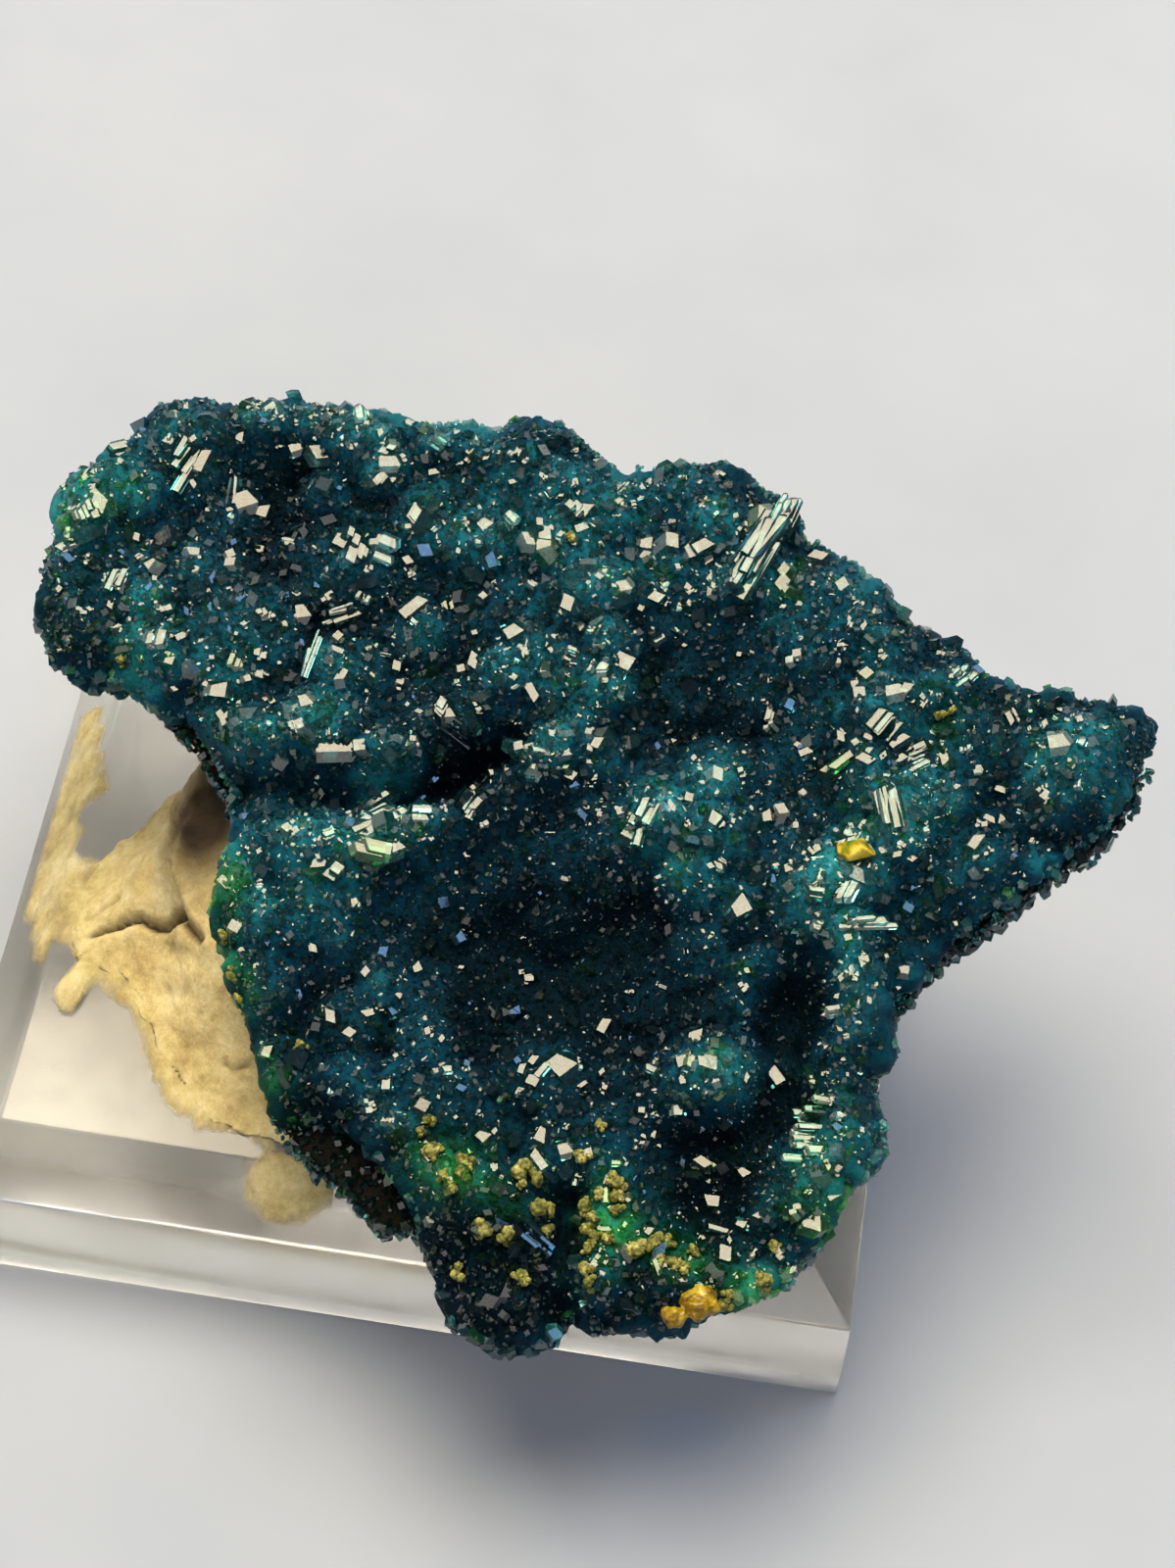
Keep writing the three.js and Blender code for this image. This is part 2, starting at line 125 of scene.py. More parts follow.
FLOOR_WIDTH = 2.4
FLOOR_MIDDLE = (0, 0.3, -0.00005)
bpy.ops.mesh.primitive_grid_add(
    x_subdivisions=8, y_subdivisions=8, size=FLOOR_WIDTH, location=FLOOR_MIDDLE
)
floor = bpy.context.object
floor.name = "floor"
floor.data.transform(floor.matrix_world)
floor.matrix_world = Matrix.Identity(4)
finish = new_finish("pale_floor", {"Roughness": 0.7})
paper = noise(finish, 60.0)
greys = ramp(finish, paper, [(0.3, (0.30, 0.335, 0.41)), (0.7, (0.33, 0.365, 0.44))])
feed(finish, "Base Color", greys)
floor.data.materials.append(finish)


# The lights: a warm soft lamp with a brighter heart, high over the specimen, whose reflection
# makes the cream glints, a small cool lamp for the few blue ones, three large dim cards that
# give the other crystal faces a grey sheen, and a dim pale room.
LIT_SPOT = (0.003, -0.003, 0.012)


def lamp(name, place, size, power, colour):
    """One square area lamp turned towards the middle of the specimen."""
    light = bpy.data.lights.new(name, "AREA")
    light.shape = "SQUARE"
    light.size = size
    light.energy = power
    light.color = colour
    thing = bpy.data.objects.new(name, light)
    bpy.context.scene.collection.objects.link(thing)
    thing.location = place
    aim = Vector(LIT_SPOT) - Vector(place)
    thing.rotation_euler = aim.to_track_quat("-Z", "Y").to_euler()


KEY_AT = (-0.04, 0.08, 0.42)
COOL_AT = (0.20, 0.10, 0.34)
lamp("key_lamp", KEY_AT, 0.32, 2.8, (1.0, 0.86, 0.62))
lamp("key_lamp_heart", KEY_AT, 0.12, 0.17, (1.0, 0.88, 0.66))
lamp("cool_lamp", COOL_AT, 0.10, 0.16, (0.36, 0.60, 1.0))
lamp("front_card", (0.12, -0.40, 0.20), 0.36, 0.55, (1.0, 0.93, 0.85))
lamp("left_card", (-0.45, 0.02, 0.30), 0.46, 0.9, (1.0, 0.92, 0.80))
lamp("back_card", (0.08, 0.50, 0.20), 0.46, 0.9, (1.0, 0.93, 0.82))
world = bpy.data.worlds.new("room")
bpy.context.scene.world = world
world.use_nodes = True
air = world.node_tree.nodes["Background"].inputs
air["Color"].default_value = (0.76, 0.85, 1.0, 1)
air["Strength"].default_value = 0.20
bpy.context.scene.view_settings.view_transform = "Standard"
bpy.context.scene.view_settings.look = "Medium High Contrast"


# The clear block: one square of polished acrylic, 32 mm wide and 6.5 mm thick, with a
# 45 degree bevel cut round its top edge. Handling has left light scuffs on it.
def bump(finish, height, distance, strength=1.0):
    """Raises the surface by a pattern, this far in metres."""
    raised = {"Strength": strength, "Distance": distance}
    feed(finish, "Normal", add_node(finish, "Bump", raised, {"Height": height}).outputs["Normal"])


def spread(finish, source, span, ends):
    """Stretches one span of a value between two ends."""
    reach = {"From Min": span[0], "From Max": span[1], "To Min": ends[0], "To Max": ends[1]}
    return add_node(finish, "MapRange", reach, {"Value": source}).outputs["Result"]


def lighten_shadow(finish, left):
    """Lets part of the light go on through a clear piece, to what lies under it."""
    shadow = add_node(finish, "LightPath").outputs["Is Shadow Ray"]
    feed(finish, "Alpha", spread(finish, shadow, (0, 1), (1.0, left)))


def shape_by(thing, name, kind, **settings):
    """Sets one modifier on the active piece and applies it."""
    modifier = thing.modifiers.new(name, kind)
    for setting, value in settings.items():
        setattr(modifier, setting, value)
    bpy.ops.object.modifier_apply(modifier=name)


BLOCK_WIDTH = 0.032
BLOCK_HEIGHT = 0.0065
BLOCK_BEVEL = 0.002
bpy.ops.mesh.primitive_cube_add(
    size=1, location=(0, 0, BLOCK_HEIGHT / 2), scale=(BLOCK_WIDTH, BLOCK_WIDTH, BLOCK_HEIGHT)
)
block = bpy.context.object
block.name = "clear_block"
bpy.ops.object.transform_apply(location=True, rotation=True, scale=True)
bpy.ops.object.mode_set(mode="EDIT")
bpy.ops.mesh.select_all(action="DESELECT")
bpy.ops.object.mode_set(mode="OBJECT")
for edge in block.data.edges:
    edge.select = all(block.data.vertices[i].co.z > 0.9 * BLOCK_HEIGHT for i in edge.vertices)
bpy.ops.object.mode_set(mode="EDIT")
bpy.ops.mesh.select_mode(type="EDGE")
bpy.ops.mesh.bevel(offset=BLOCK_BEVEL, segments=1, affect="EDGES")
bpy.ops.object.mode_set(mode="OBJECT")
WORN = {"width": 0.00012, "segments": 2, "limit_method": "ANGLE", "angle_limit": math.radians(20)}
shape_by(block, "worn_edges", "BEVEL", **WORN)
bpy.ops.object.shade_smooth_by_angle(angle=math.radians(30))
finish = new_finish("clear_acrylic", {
    "Base Color": (0.87, 0.86, 0.82, 1), "Transmission Weight": 0.93, "IOR": 1.49,
})
haze = noise(finish, 260.0, 6.0, 0.6)
feed(finish, "Roughness", spread(finish, haze, (0.4, 0.75), (0.05, 0.22)))
scuffs = noise(finish, 1500.0, 6.0, 0.7, (1, 0.15, 1), 35)
bump(finish, scuffs, 0.00002, 0.18)
lighten_shadow(finish, 0.55)
block.data.materials.append(finish)
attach(block, "root")
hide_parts("base_block")


# The putty: one lump of beige mounting putty, kneaded soft and pressed between the block and
# the rock. Fingers left creases and dimples in it, and the creases are coloured darker.
def nearest_on(u, v, path, closed=False):
    """The nearest point of a path of straight stretches to each point, and how far off it is."""
    path = np.asarray(path, float)
    ends = np.roll(path, -1, axis=0) if closed else path[1:]
    found, best = np.stack([u, v], axis=-1), np.full(np.shape(u), 1e9)
    for (au, av), (bu, bv) in zip(path, ends):
        length = (bu - au) ** 2 + (bv - av) ** 2
        share = np.clip(((u - au) * (bu - au) + (v - av) * (bv - av)) / length, 0, 1)
        spot = np.stack([au + share * (bu - au), av + share * (bv - av)], axis=-1)
        away = np.hypot(u - spot[..., 0], v - spot[..., 1])
        found = np.where((away < best)[..., None], spot, found)
        best = np.minimum(best, away)
    return found, best


def path_distance(u, v, path, closed=False):
    """How far each point lies from a path."""
    return nearest_on(u, v, path, closed)[1]


def within(u, v, outline):
    """Whether each point is inside a closed outline."""
    inside = np.zeros(np.shape(u), bool)
    for (au, av), (bu, bv) in zip(outline, np.roll(outline, -1, axis=0)):
        if av != bv:
            inside ^= ((av > v) != (bv > v)) & (u < au + (v - av) / (bv - av) * (bu - au))
    return inside


def lumps(u, v, size, seed):
    """Smooth random swelling between -1 and 1, with bumps of this size."""
    lattice = np.random.default_rng(seed).uniform(-1, 1, (97, 97))
    x, y = u / size + 48, v / size + 48
    i, j = np.floor(x).astype(int), np.floor(y).astype(int)
    fx, fy = x - i, y - j
    fx, fy = fx * fx * (3 - 2 * fx), fy * fy * (3 - 2 * fy)
    near = lattice[i % 97, j % 97] * (1 - fx) + lattice[(i + 1) % 97, j % 97] * fx
    far = lattice[i % 97, (j + 1) % 97] * (1 - fx) + lattice[(i + 1) % 97, (j + 1) % 97] * fx
    return near * (1 - fy) + far * fy


def vertices_of(thing, what="co"):
    """The places of a mesh's corner points, or the ways they face, as one array."""
    points = np.empty(len(thing.data.vertices) * 3)
    thing.data.vertices.foreach_get(what, points)
    return points.reshape(-1, 3)


def move_vertices(thing, points):
    """Puts the corner points of a piece's mesh at new places."""
    thing.data.vertices.foreach_set("co", points.astype(np.float32).ravel())
    thing.data.update()


def mark_points(thing, label, values):
    """Stores one number at each corner point, for the material to read."""
    layer = thing.data.attributes.new(label, "FLOAT", "POINT")
    layer.data.foreach_set("value", np.asarray(values, np.float32))


def marked(finish, label):
    """Reads a number that was stored at the corner points."""
    return add_node(finish, "Attribute", attribute_name=label).outputs["Fac"]


def blend(finish, share, first, second):
    """Mixes two colours by a share."""
    mixed = {"Factor": share, "A": first, "B": second}
    return add_node(finish, "Mix", (), mixed, data_type="RGBA").outputs["Result"]


putty = bpy.data.objects.new("kneaded_putty", frame["nodes"]["mounting_putty"].data.copy())
bpy.context.scene.collection.objects.link(putty)
bpy.ops.object.select_all(action="DESELECT")
bpy.context.view_layer.objects.active = putty
putty.select_set(True)
bpy.ops.object.mode_set(mode="EDIT")
bpy.ops.mesh.select_all(action="SELECT")
bpy.ops.mesh.remove_doubles(threshold=0.000002)
bpy.ops.object.mode_set(mode="OBJECT")
putty.data.materials.clear()
shape_by(putty, "one_skin", "REMESH", mode="VOXEL", voxel_size=0.00014)
shape_by(putty, "calm", "SMOOTH", factor=0.8, iterations=18)
# The foot of the lump on the block: along the left and the front, which are the stretches of
# THIN_FOOT, it thins out to a soft edge this many millimetres wide.
PUTTY_FOOT = [
    (6.4, -3.2), (5.6, 2.8), (1.0, 6.4), (-5.2, 6.2), (-10.6, 2.6), (-11.3, 0.6), (-11.9, -1.4),
    (-12.9, -2.3), (-13.6, -4.5), (-12.9, -6.9), (-11.1, -7.5), (-10.1, -8.6), (-9.3, -10.2),
    (-8.0, -11.7), (-6.8, -12.9), (-4.0, -13.4), (0.2, -12.8), (5.0, -8.8),
]
THIN_FOOT = PUTTY_FOOT[4:17]
FOOT_SLOPE = 2.2
FOOT_RAGGED = 0.22
FOOT_TOP = 10.5
ON_BLOCK = 6.55
points = vertices_of(putty)
x, y, z = points.T * 1000
outside = ~within(x, y, PUTTY_FOOT) & (z < FOOT_TOP)
low = (np.clip((FOOT_TOP - z) / 3.0, 0, 1) * outside)[:, None]
ragged_foot = FOOT_RAGGED * np.stack([lumps(x, y, 0.7, 55), lumps(x, y, 0.7, 56)], axis=1)
foot_spot = nearest_on(x, y, PUTTY_FOOT, True)[0] + ragged_foot
points[:, :2] += (foot_spot - points[:, :2] * 1000) * low * 0.001
x, y, z = points.T * 1000
slope = np.clip(path_distance(x, y, THIN_FOOT) / FOOT_SLOPE, 0, 1) ** 1.1
thinned = ON_BLOCK + (z - ON_BLOCK) * (0.03 + 0.97 * slope)
points[:, 2] = np.where((z > ON_BLOCK + 0.05) & (z < FOOT_TOP), thinned, z) * 0.001
z = points[:, 2] * 1000
PRESSED_IN = 0.12
kneading = 0.20 * lumps(x + 0.4 * z, y - 0.3 * z, 2.8, 51) + 0.11 * lumps(x - z, y + z, 1.1, 52)
kneading = kneading + 0.07 * lumps(x + z, y - z, 0.5, 53)
kneading = kneading + 0.05 * lumps(x + 0.5 * z, y + z, 0.28, 54)
# Each crease: its path across the putty, half-width and depth.
CREASES = [
    (((-12.6, -6.1), (-10.9, -5.8), (-9.4, -6.5), (-8.2, -7.6)), 0.11, 0.6),
    (((-12.9, -5.4), (-11.9, -4.9)), 0.12, 0.2),
    (((-6.7, -11.1), (-6.3, -11.4), (-5.8, -11.3)), 0.09, 0.28),
    (((-10.4, -3.9), (-9.4, -3.4)), 0.25, 0.15), (((-9.6, -8.2), (-8.6, -8.7)), 0.2, 0.12),
]
crease_and_shadow_darkening = np.zeros(len(points))
for path, wide, deep in CREASES:
    pinch = np.exp(-((path_distance(x, y, path) / wide) ** 2))
    kneading = kneading - deep * pinch
    crease_and_shadow_darkening = np.maximum(crease_and_shadow_darkening, pinch * min(1, 1.3 * deep))
freed = np.clip((z - ON_BLOCK - 0.05) / 0.6, 0, 1)
swelling = ((kneading - PRESSED_IN) * freed)[:, None] * 0.001
move_vertices(putty, points + vertices_of(putty, "normal") * swelling)
putty.data.shade_smooth()
# A painted shadow darkens one patch of it under the rock: its middle and half-widths.
PAINTED_SHADOW_AT, PAINTED_SHADOW_WIDE = (-8.9, -3.6), (1.5, 2.1)
painted_shadow = np.exp(-(((x - PAINTED_SHADOW_AT[0]) / PAINTED_SHADOW_WIDE[0]) ** 2) - ((y - PAINTED_SHADOW_AT[1]) / PAINTED_SHADOW_WIDE[1]) ** 2)
mark_points(putty, "crease_and_shadow_darkening", np.clip(crease_and_shadow_darkening + 1.3 * painted_shadow, 0, 1))


def putty_finish(name):
    """Beige putty: dull, slightly greasy, with smeared grain and specks of grime."""
    finish = new_finish(name, {
        "Subsurface Weight": 0.15, "Subsurface Scale": 0.0006,
        "Subsurface Radius": (1.0, 0.6, 0.35),
    })
    blotches = noise(finish, 520.0, 12.0, 0.78)
    tint = ramp(finish, blotches, [
        (0.34, (0.42, 0.315, 0.145)), (0.45, (0.62, 0.50, 0.24)),
        (0.54, (0.76, 0.64, 0.34)), (0.66, (0.88, 0.79, 0.53)),
    ])
    feed(finish, "Roughness", spread(finish, blotches, (0.3, 0.7), (0.75, 0.5)))
    smeared = noise(finish, 2400.0, 8.0, 0.78, (1, 0.45, 1), -55)
    bump(finish, smeared, 0.00024)
    return finish, tint


finish, tint = putty_finish("beige_putty")
# The creases are coloured darker, and the patch under the rock gets a painted shadow.
darkening_colour = ramp(finish, noise(finish, 900.0), [(0.3, (0.03, 0.02, 0.010)), (0.7, (0.09, 0.062, 0.032))])
feed(finish, "Base Color", blend(finish, marked(finish, "crease_and_shadow_darkening"), tint, darkening_colour))
putty.data.materials.append(finish)
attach(putty, "root")
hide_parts("mounting_putty")


# The putty film: thin smears and dabs of the same putty left on the block's top and bevel,
# where the lump was pressed on, pulled off and set again.
FILM_STEP = 0.14
FILM_LIFT, FILM_THICK = 0.03, 0.10
FILM_BODY = 0.00004
FILM_COUNT = (100, 170)
FILM_MIDDLE = (-9.2, -4.2)
# The edge of the smear beside the lump, and the loose dabs: middle, half-widths, how thick and
# how high each is.
SMEAR_EDGE = [
    (-15.4, 5.8), (-14.5, 5.0), (-14.1, 3.6), (-13.5, 1.8), (-13.1, 0.6), (-14.0, -0.5),
    (-13.5, -1.3), (-13.6, -2.4), (-12.6, -2.0), (-11.6, -1.2), (-9.0, -4.0), (-4.6, -13.4),
    (-7.2, -13.6), (-8.7, -12.4), (-10.0, -10.6), (-10.7, -9.2), (-11.6, -8.2), (-12.9, -7.4),
    (-13.7, -6.8), (-14.1, -7.9), (-14.7, -7.0), (-15.3, -5.3), (-16.6, -3.6), (-16.9, 1.0),
    (-16.9, 5.0),
]
DABS = [
    ((-12.8, -8.5), (0.45, 0.8), 2.4, 0.35), ((-12.5, -7.6), (0.3, 0.6), 1.4, 0.15),
    ((-4.0, -14.6), (1.45, 1.05), 1.9, 0.12), ((-14.2, -12.4), (0.8, 0.25), 0.55, 0.0),
    ((-2.9, -14.6), (0.8, 0.5), 0.8, 0.05),
]
bpy.ops.mesh.primitive_grid_add(
    x_subdivisions=FILM_COUNT[0], y_subdivisions=FILM_COUNT[1], size=1, location=(0, 0, 0)
)
film = bpy.context.object
film.name = "putty_film"
points = vertices_of(film)
x = FILM_MIDDLE[0] + points[:, 0] * FILM_COUNT[0] * FILM_STEP
y = FILM_MIDDLE[1] + points[:, 1] * FILM_COUNT[1] * FILM_STEP
from_edge = path_distance(x, y, SMEAR_EDGE, True) * np.where(within(x, y, SMEAR_EDGE), 1, -1)
thick = -0.45 + 1.25 * np.clip((from_edge + 0.35) / 1.0, 0, 1)
raised = np.zeros(len(x))
for (cx, cy), (wide, deep), much, high in DABS:
    dab = np.exp(-(((x - cx) / wide) ** 2) - ((y - cy) / deep) ** 2)
    thick, raised = thick + much * dab, raised + high * dab
dragged = 0.3 * x + 0.9 * y
thick = thick + 0.22 * lumps(x, y, 0.7, 61)
thick = thick + 0.18 * lumps(2.2 * (x - 0.3 * dragged), 0.5 * dragged, 0.5, 62)
top_half = 1000 * (BLOCK_WIDTH / 2 - BLOCK_BEVEL)
outward = np.maximum(np.abs(x), np.abs(y))
thick = np.minimum(thick, np.clip((top_half + 1.7 - outward) / 0.4, -1, 1))
on_block = 1000 * BLOCK_HEIGHT - np.maximum(0, outward - top_half)
height = on_block + FILM_LIFT + raised + FILM_THICK * np.clip(thick, 0, 1.2) ** 1.3
move_vertices(film, np.stack([x, y, height], axis=1) * 0.001)
mark_points(film, "cover", 1.1 * np.clip(thick / 1.1, 0, 1))
bpy.ops.object.mode_set(mode="EDIT")
bpy.ops.mesh.select_mode(type="VERT")
bpy.ops.mesh.select_all(action="DESELECT")
bpy.ops.object.mode_set(mode="OBJECT")
film.data.vertices.foreach_set("select", thick < 0)
bpy.ops.object.mode_set(mode="EDIT")
bpy.ops.mesh.delete(type="VERT")
bpy.ops.mesh.select_all(action="SELECT")
bpy.ops.mesh.delete_loose(use_verts=True, use_edges=True, use_faces=False)
bpy.ops.object.mode_set(mode="OBJECT")
shape_by(film, "body", "SOLIDIFY", thickness=FILM_BODY, offset=-1)
film.data.shade_smooth()
finish, tint = putty_finish("smeared_putty")
feed(finish, "Base Color", tint)
ragged = noise(finish, 1500.0, 10.0, 0.85, (1, 0.35, 1), -30)
soft = add_node(finish, "Math", (), {0: ragged, 1: marked(finish, "cover")}).outputs["Value"]
feed(finish, "Alpha", spread(finish, soft, (0.68, 1.35), (0.0, 0.96)))
film.data.materials.append(finish)
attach(film, "root")


# The rock: a broken plate of nearly black brown stone under the crystals, rough and earthy.
# It lies at a slant over the block, u to its right, v away and w out of its face, in
# millimetres, and shows along the lower edges and all over the underside.
PLATE_AT = (0.0048, -0.0057, 0.016)
PLATE_TURN = (22.0, -4.0, 11.0)
PLATE = (
    Matrix.Translation(PLATE_AT)
    @ Matrix.Rotation(math.radians(PLATE_TURN[0]), 4, "X")
    @ Matrix.Rotation(math.radians(PLATE_TURN[1]), 4, "Y")
    @ Matrix.Rotation(math.radians(PLATE_TURN[2]), 4, "Z")
    @ Matrix.Scale(0.001, 4)
)
CRUST_EDGE = np.array([
    (-14.7, 17.3), (-13.3, 17.6), (-12.3, 17.1), (-11.0, 17.2), (-8.3, 16.8), (-5.4, 15.8),
    (-2.8, 15.3), (-2.1, 15.8), (-1.3, 15.9), (-0.3, 15.3), (0.7, 14.6), (1.5, 13.5), (2.8, 13.7),
    (3.9, 14.0), (5.3, 13.9), (6.2, 13.0), (7.4, 11.9), (7.9, 10.8), (9.6, 9.6), (11.3, 7.6),
    (13.2, 6.5), (13.6, 5.6), (14.6, 5.0), (16.9, 4.5), (18.9, 4.0), (19.5, 3.3), (19.0, 2.3),
    (18.3, 1.0), (17.3, -0.3), (15.3, -1.4), (14.0, -2.4), (11.8, -3.8), (11.0, -4.8), (9.8, -5.7),
    (9.8, -7.3), (9.0, -8.7), (9.4, -9.9), (9.2, -10.9), (7.6, -12.5), (6.8, -14.0), (6.0, -14.9),
    (3.9, -15.7), (1.8, -16.5), (-0.6, -16.2), (-1.5, -15.7), (-1.7, -16.5), (-3.6, -16.9),
    (-5.1, -15.9), (-5.7, -14.3), (-6.2, -13.0), (-6.3, -11.5), (-7.8, -9.7), (-9.0, -8.8),
    (-10.8, -8.7), (-11.4, -7.2), (-12.4, -3.6), (-13.1, -1.5), (-12.6, 0.1), (-11.9, 0.7),
    (-12.2, 2.7), (-13.4, 5.3), (-14.8, 6.3), (-16.3, 7.4), (-17.7, 7.5), (-18.6, 8.1),
    (-19.0, 9.5), (-18.9, 11.2), (-18.2, 12.8), (-18.4, 14.1), (-17.1, 15.2), (-15.7, 16.2),
])
ROCK_EDGE = np.array([
    (-14.2, 16.0), (-12.4, 16.0), (-9.6, 15.9), (-6.6, 15.1), (-3.0, 14.1), (-0.8, 14.2),
    (0.4, 13.2), (1.6, 12.3), (4.2, 12.7), (5.6, 12.2), (6.9, 10.5), (8.4, 9.1), (10.2, 7.2),
    (11.8, 6.0), (12.9, 4.5), (15.2, 3.7), (18.3, 3.0), (19.1, 1.9), (18.5, 0.6), (17.5, -0.7),
    (15.4, -1.9), (14.1, -2.9), (11.9, -4.3), (10.6, -5.6), (8.7, -7.4), (8.2, -9.0), (8.2, -11.0),
    (6.8, -12.5), (5.8, -14.3), (3.6, -15.0), (0.3, -15.3), (-1.7, -14.8), (-3.4, -15.7),
    (-4.3, -14.9), (-5.6, -13.3), (-6.4, -12.6), (-7.6, -12.9), (-8.8, -11.4), (-10.1, -10.2),
    (-11.2, -8.7), (-11.0, -7.2), (-11.4, -5.4), (-12.2, -2.4), (-11.9, -0.2), (-11.5, 0.6),
    (-12.5, 2.1), (-13.5, 4.3), (-14.7, 5.8), (-16.4, 7.6), (-17.5, 8.1), (-18.1, 9.4),
    (-17.9, 11.0), (-17.3, 12.7), (-16.3, 14.5),
])
# Each swelling or hollow: middle, half-widths, turn in degrees and height.
SWELLS = [
    ((-9.0, 10.0), (8.0, 5.0), -6, 1.0), ((-8.2, 9.3), (5.2, 3.0), -10, -0.5),
    ((-10.4, 13.0), (2.4, 1.7), 20, -0.9), ((9.0, 5.0), (7.5, 5.0), -20, 0.4),
    ((4.7, 4.8), (3.4, 2.2), -30, -1.1), ((12.5, 2.0), (3.0, 1.6), -35, -0.6),
    ((-1.0, -4.4), (5.2, 2.9), -8, -2.0), ((1.4, -2.7), (2.2, 1.0), 10, -0.6),
    ((3.3, 0.4), (2.2, 1.2), -12, 1.1), ((7.7, -1.9), (1.7, 1.2), -30, 1.1),
    ((6.5, -5.7), (1.3, 1.4), 0, -2.0), ((6.1, -8.6), (0.9, 1.8), 15, -1.7),
    ((3.4, -10.1), (1.8, 0.8), 10, -1.4), ((3.3, -7.8), (1.7, 1.5), 20, 1.2),
    ((3.7, -12.2), (2.2, 1.2), 15, -1.6), ((-3.2, -15.4), (1.5, 1.1), 0, 0.4),
    ((-10.7, -2.0), (1.3, 1.2), 0, 0.8), ((-8.6, -5.8), (2.2, 1.8), 30, -0.5),
]
# Each ridge or crease: the path it follows, half-width and height.
FOLDS = [
    (((-17.1, 14.0), (-18.0, 10.6), (-17.4, 8.3)), 1.0, 0.7),
    (((-14.0, 16.0), (-9.8, 15.8), (-4.6, 14.7), (-0.9, 14.4)), 1.2, 0.7),
    (((-14.0, 3.4), (-10.0, 2.5), (-6.8, 1.9)), 0.7, -0.7),
    (((-6.2, 1.9), (-5.0, 2.3), (-3.6, 3.1), (-2.6, 3.8)), 0.6, -1.8),
    (((-13.0, 4.9), (-9.0, 4.0), (-5.9, 4.0), (-3.5, 5.2)), 1.0, 0.8),
    (((-11.5, 1.0), (-7.8, 0.2), (-4.0, 1.3), (-0.9, 2.7), (0.2, 4.6), (0.3, 8.4)), 1.1, 1.2),
    (((9.4, 3.8), (10.0, 1.5), (10.3, -0.8)), 0.9, 1.0),
    (((7.3, 11.6), (6.2, 10.0), (5.1, 8.5)), 0.7, 1.2),
    (((8.3, -5.2), (8.9, -7.3), (8.0, -9.5), (8.0, -11.3), (6.5, -13.2)), 1.0, 0.9),
    (((-10.6, -6.6), (-8.6, -8.1), (-6.1, -10.2), (-4.4, -11.9)), 0.9, 0.7),
    (((-3.4, -13.6), (0.5, -15.0), (4.4, -14.9)), 0.9, 0.5),
    (((-1.3, -11.8), (-1.4, -13.6), (-1.5, -15.8)), 0.55, -1.6),
]


def crust_top(u, v):
    """Height of the crust's face over the plane of the plate."""
    height = np.zeros(np.shape(u))
    for (cu, cv), (wide, deep), turn, up in SWELLS:
        c, s = math.cos(math.radians(turn)), math.sin(math.radians(turn))
        along = ((u - cu) * c + (v - cv) * s) / wide
        across = ((v - cv) * c - (u - cu) * s) / deep
        height += up * np.exp(-along ** 2 - across ** 2)
    for path, wide, up in FOLDS:
        height += up * np.exp(-((path_distance(u, v, path) / wide) ** 2))
    rounding = np.maximum(0, 1 - path_distance(u, v, CRUST_EDGE, True) / 1.6)
    return np.maximum(height, -2.5) - 0.8 * rounding ** 2


ROCK_SUNK = 1.5


def rock_top(u, v):
    """Height of the rock under the crust."""
    return 0.5 * crust_top(u, v) - ROCK_SUNK


def to_world(points):
    """Turns plate millimetres into metres in the part's frame."""
    turn = np.array(PLATE.to_3x3())
    return points @ turn.T + np.array(PLATE.translation)


def slab_piece(name, outline, thick, middle, voxel):
    """A flat slab cut to an outline and remeshed to one even skin, in plate millimetres."""
    bpy.ops.mesh.primitive_circle_add(vertices=len(outline), radius=1, fill_type="NGON")
    thing = bpy.context.object
    thing.name = name
    for vertex, (u, v) in zip(thing.data.vertices, outline[::-1]):
        vertex.co = (u, v, middle - thick / 2)
    bpy.ops.object.mode_set(mode="EDIT")
    bpy.ops.mesh.select_all(action="SELECT")
    bpy.ops.mesh.extrude_region_move(TRANSFORM_OT_translate={"value": (0, 0, thick)})
    bpy.ops.mesh.select_all(action="SELECT")
    bpy.ops.mesh.quads_convert_to_tris()
    bpy.ops.mesh.normals_make_consistent(inside=False)
    bpy.ops.object.mode_set(mode="OBJECT")
    shape_by(thing, "even_skin", "REMESH", mode="VOXEL", voxel_size=voxel)
    return thing


ROCK_BOTTOM = -4.1
ROCK_THICK = 2.6
ROCK_UNDER = -4.18
rock = slab_piece("dark_rock", ROCK_EDGE, ROCK_THICK, ROCK_BOTTOM + ROCK_THICK / 2, voxel=0.3)
u, v, w = vertices_of(rock).T
ragged = 0.10 * lumps(u, v, 1.1, 31) + 0.06 * lumps(u + w, v - w, 0.5, 32)
draw_in = 1 - 0.02 * np.clip(-1 - w, 0, 5)
u, v = u * draw_in, v * draw_in
share = np.clip((w - ROCK_BOTTOM) / ROCK_THICK, 0, 1)
edge = np.maximum(0, 1 - path_distance(u, v, ROCK_EDGE, True) / 4)
under = ROCK_UNDER + 0.25 * np.sin(0.8 * u + 0.5) * np.cos(0.7 * v - 0.3) + 0.6 * edge ** 2
under = under + 0.18 * np.abs(lumps(u, v, 1.3, 33)) + 0.12 * lumps(u, v, 0.5, 34)
over = rock_top(u, v) - 0.05 + 0.04 * lumps(u, v, 0.6, 35)
w = under * (1 - share) + over * share + 0.3 * ragged * np.sin(share * np.pi)
shrink = 0.994 + ragged * 0.012
move_vertices(rock, to_world(np.stack([u * shrink, v * shrink, w], axis=1)))
rock.data.shade_smooth()
finish = new_finish("dark_rock", {"Specular IOR Level": 0.15})
patches = noise(finish, 350.0, 8.0, 0.65)
feed(finish, "Base Color", ramp(finish, patches, [
    (0.3, (0.003, 0.0025, 0.002)), (0.55, (0.008, 0.006, 0.0045)), (0.72, (0.020, 0.014, 0.009)),
]))
grit = noise(finish, 3200.0, 6.0, 0.7)
feed(finish, "Roughness", spread(finish, grit, (0.35, 0.7), (0.98, 0.6)))
bump(finish, grit, 0.00012, 0.9)
rock.data.materials.append(finish)
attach(rock, "root")
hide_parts("matrix_rock")


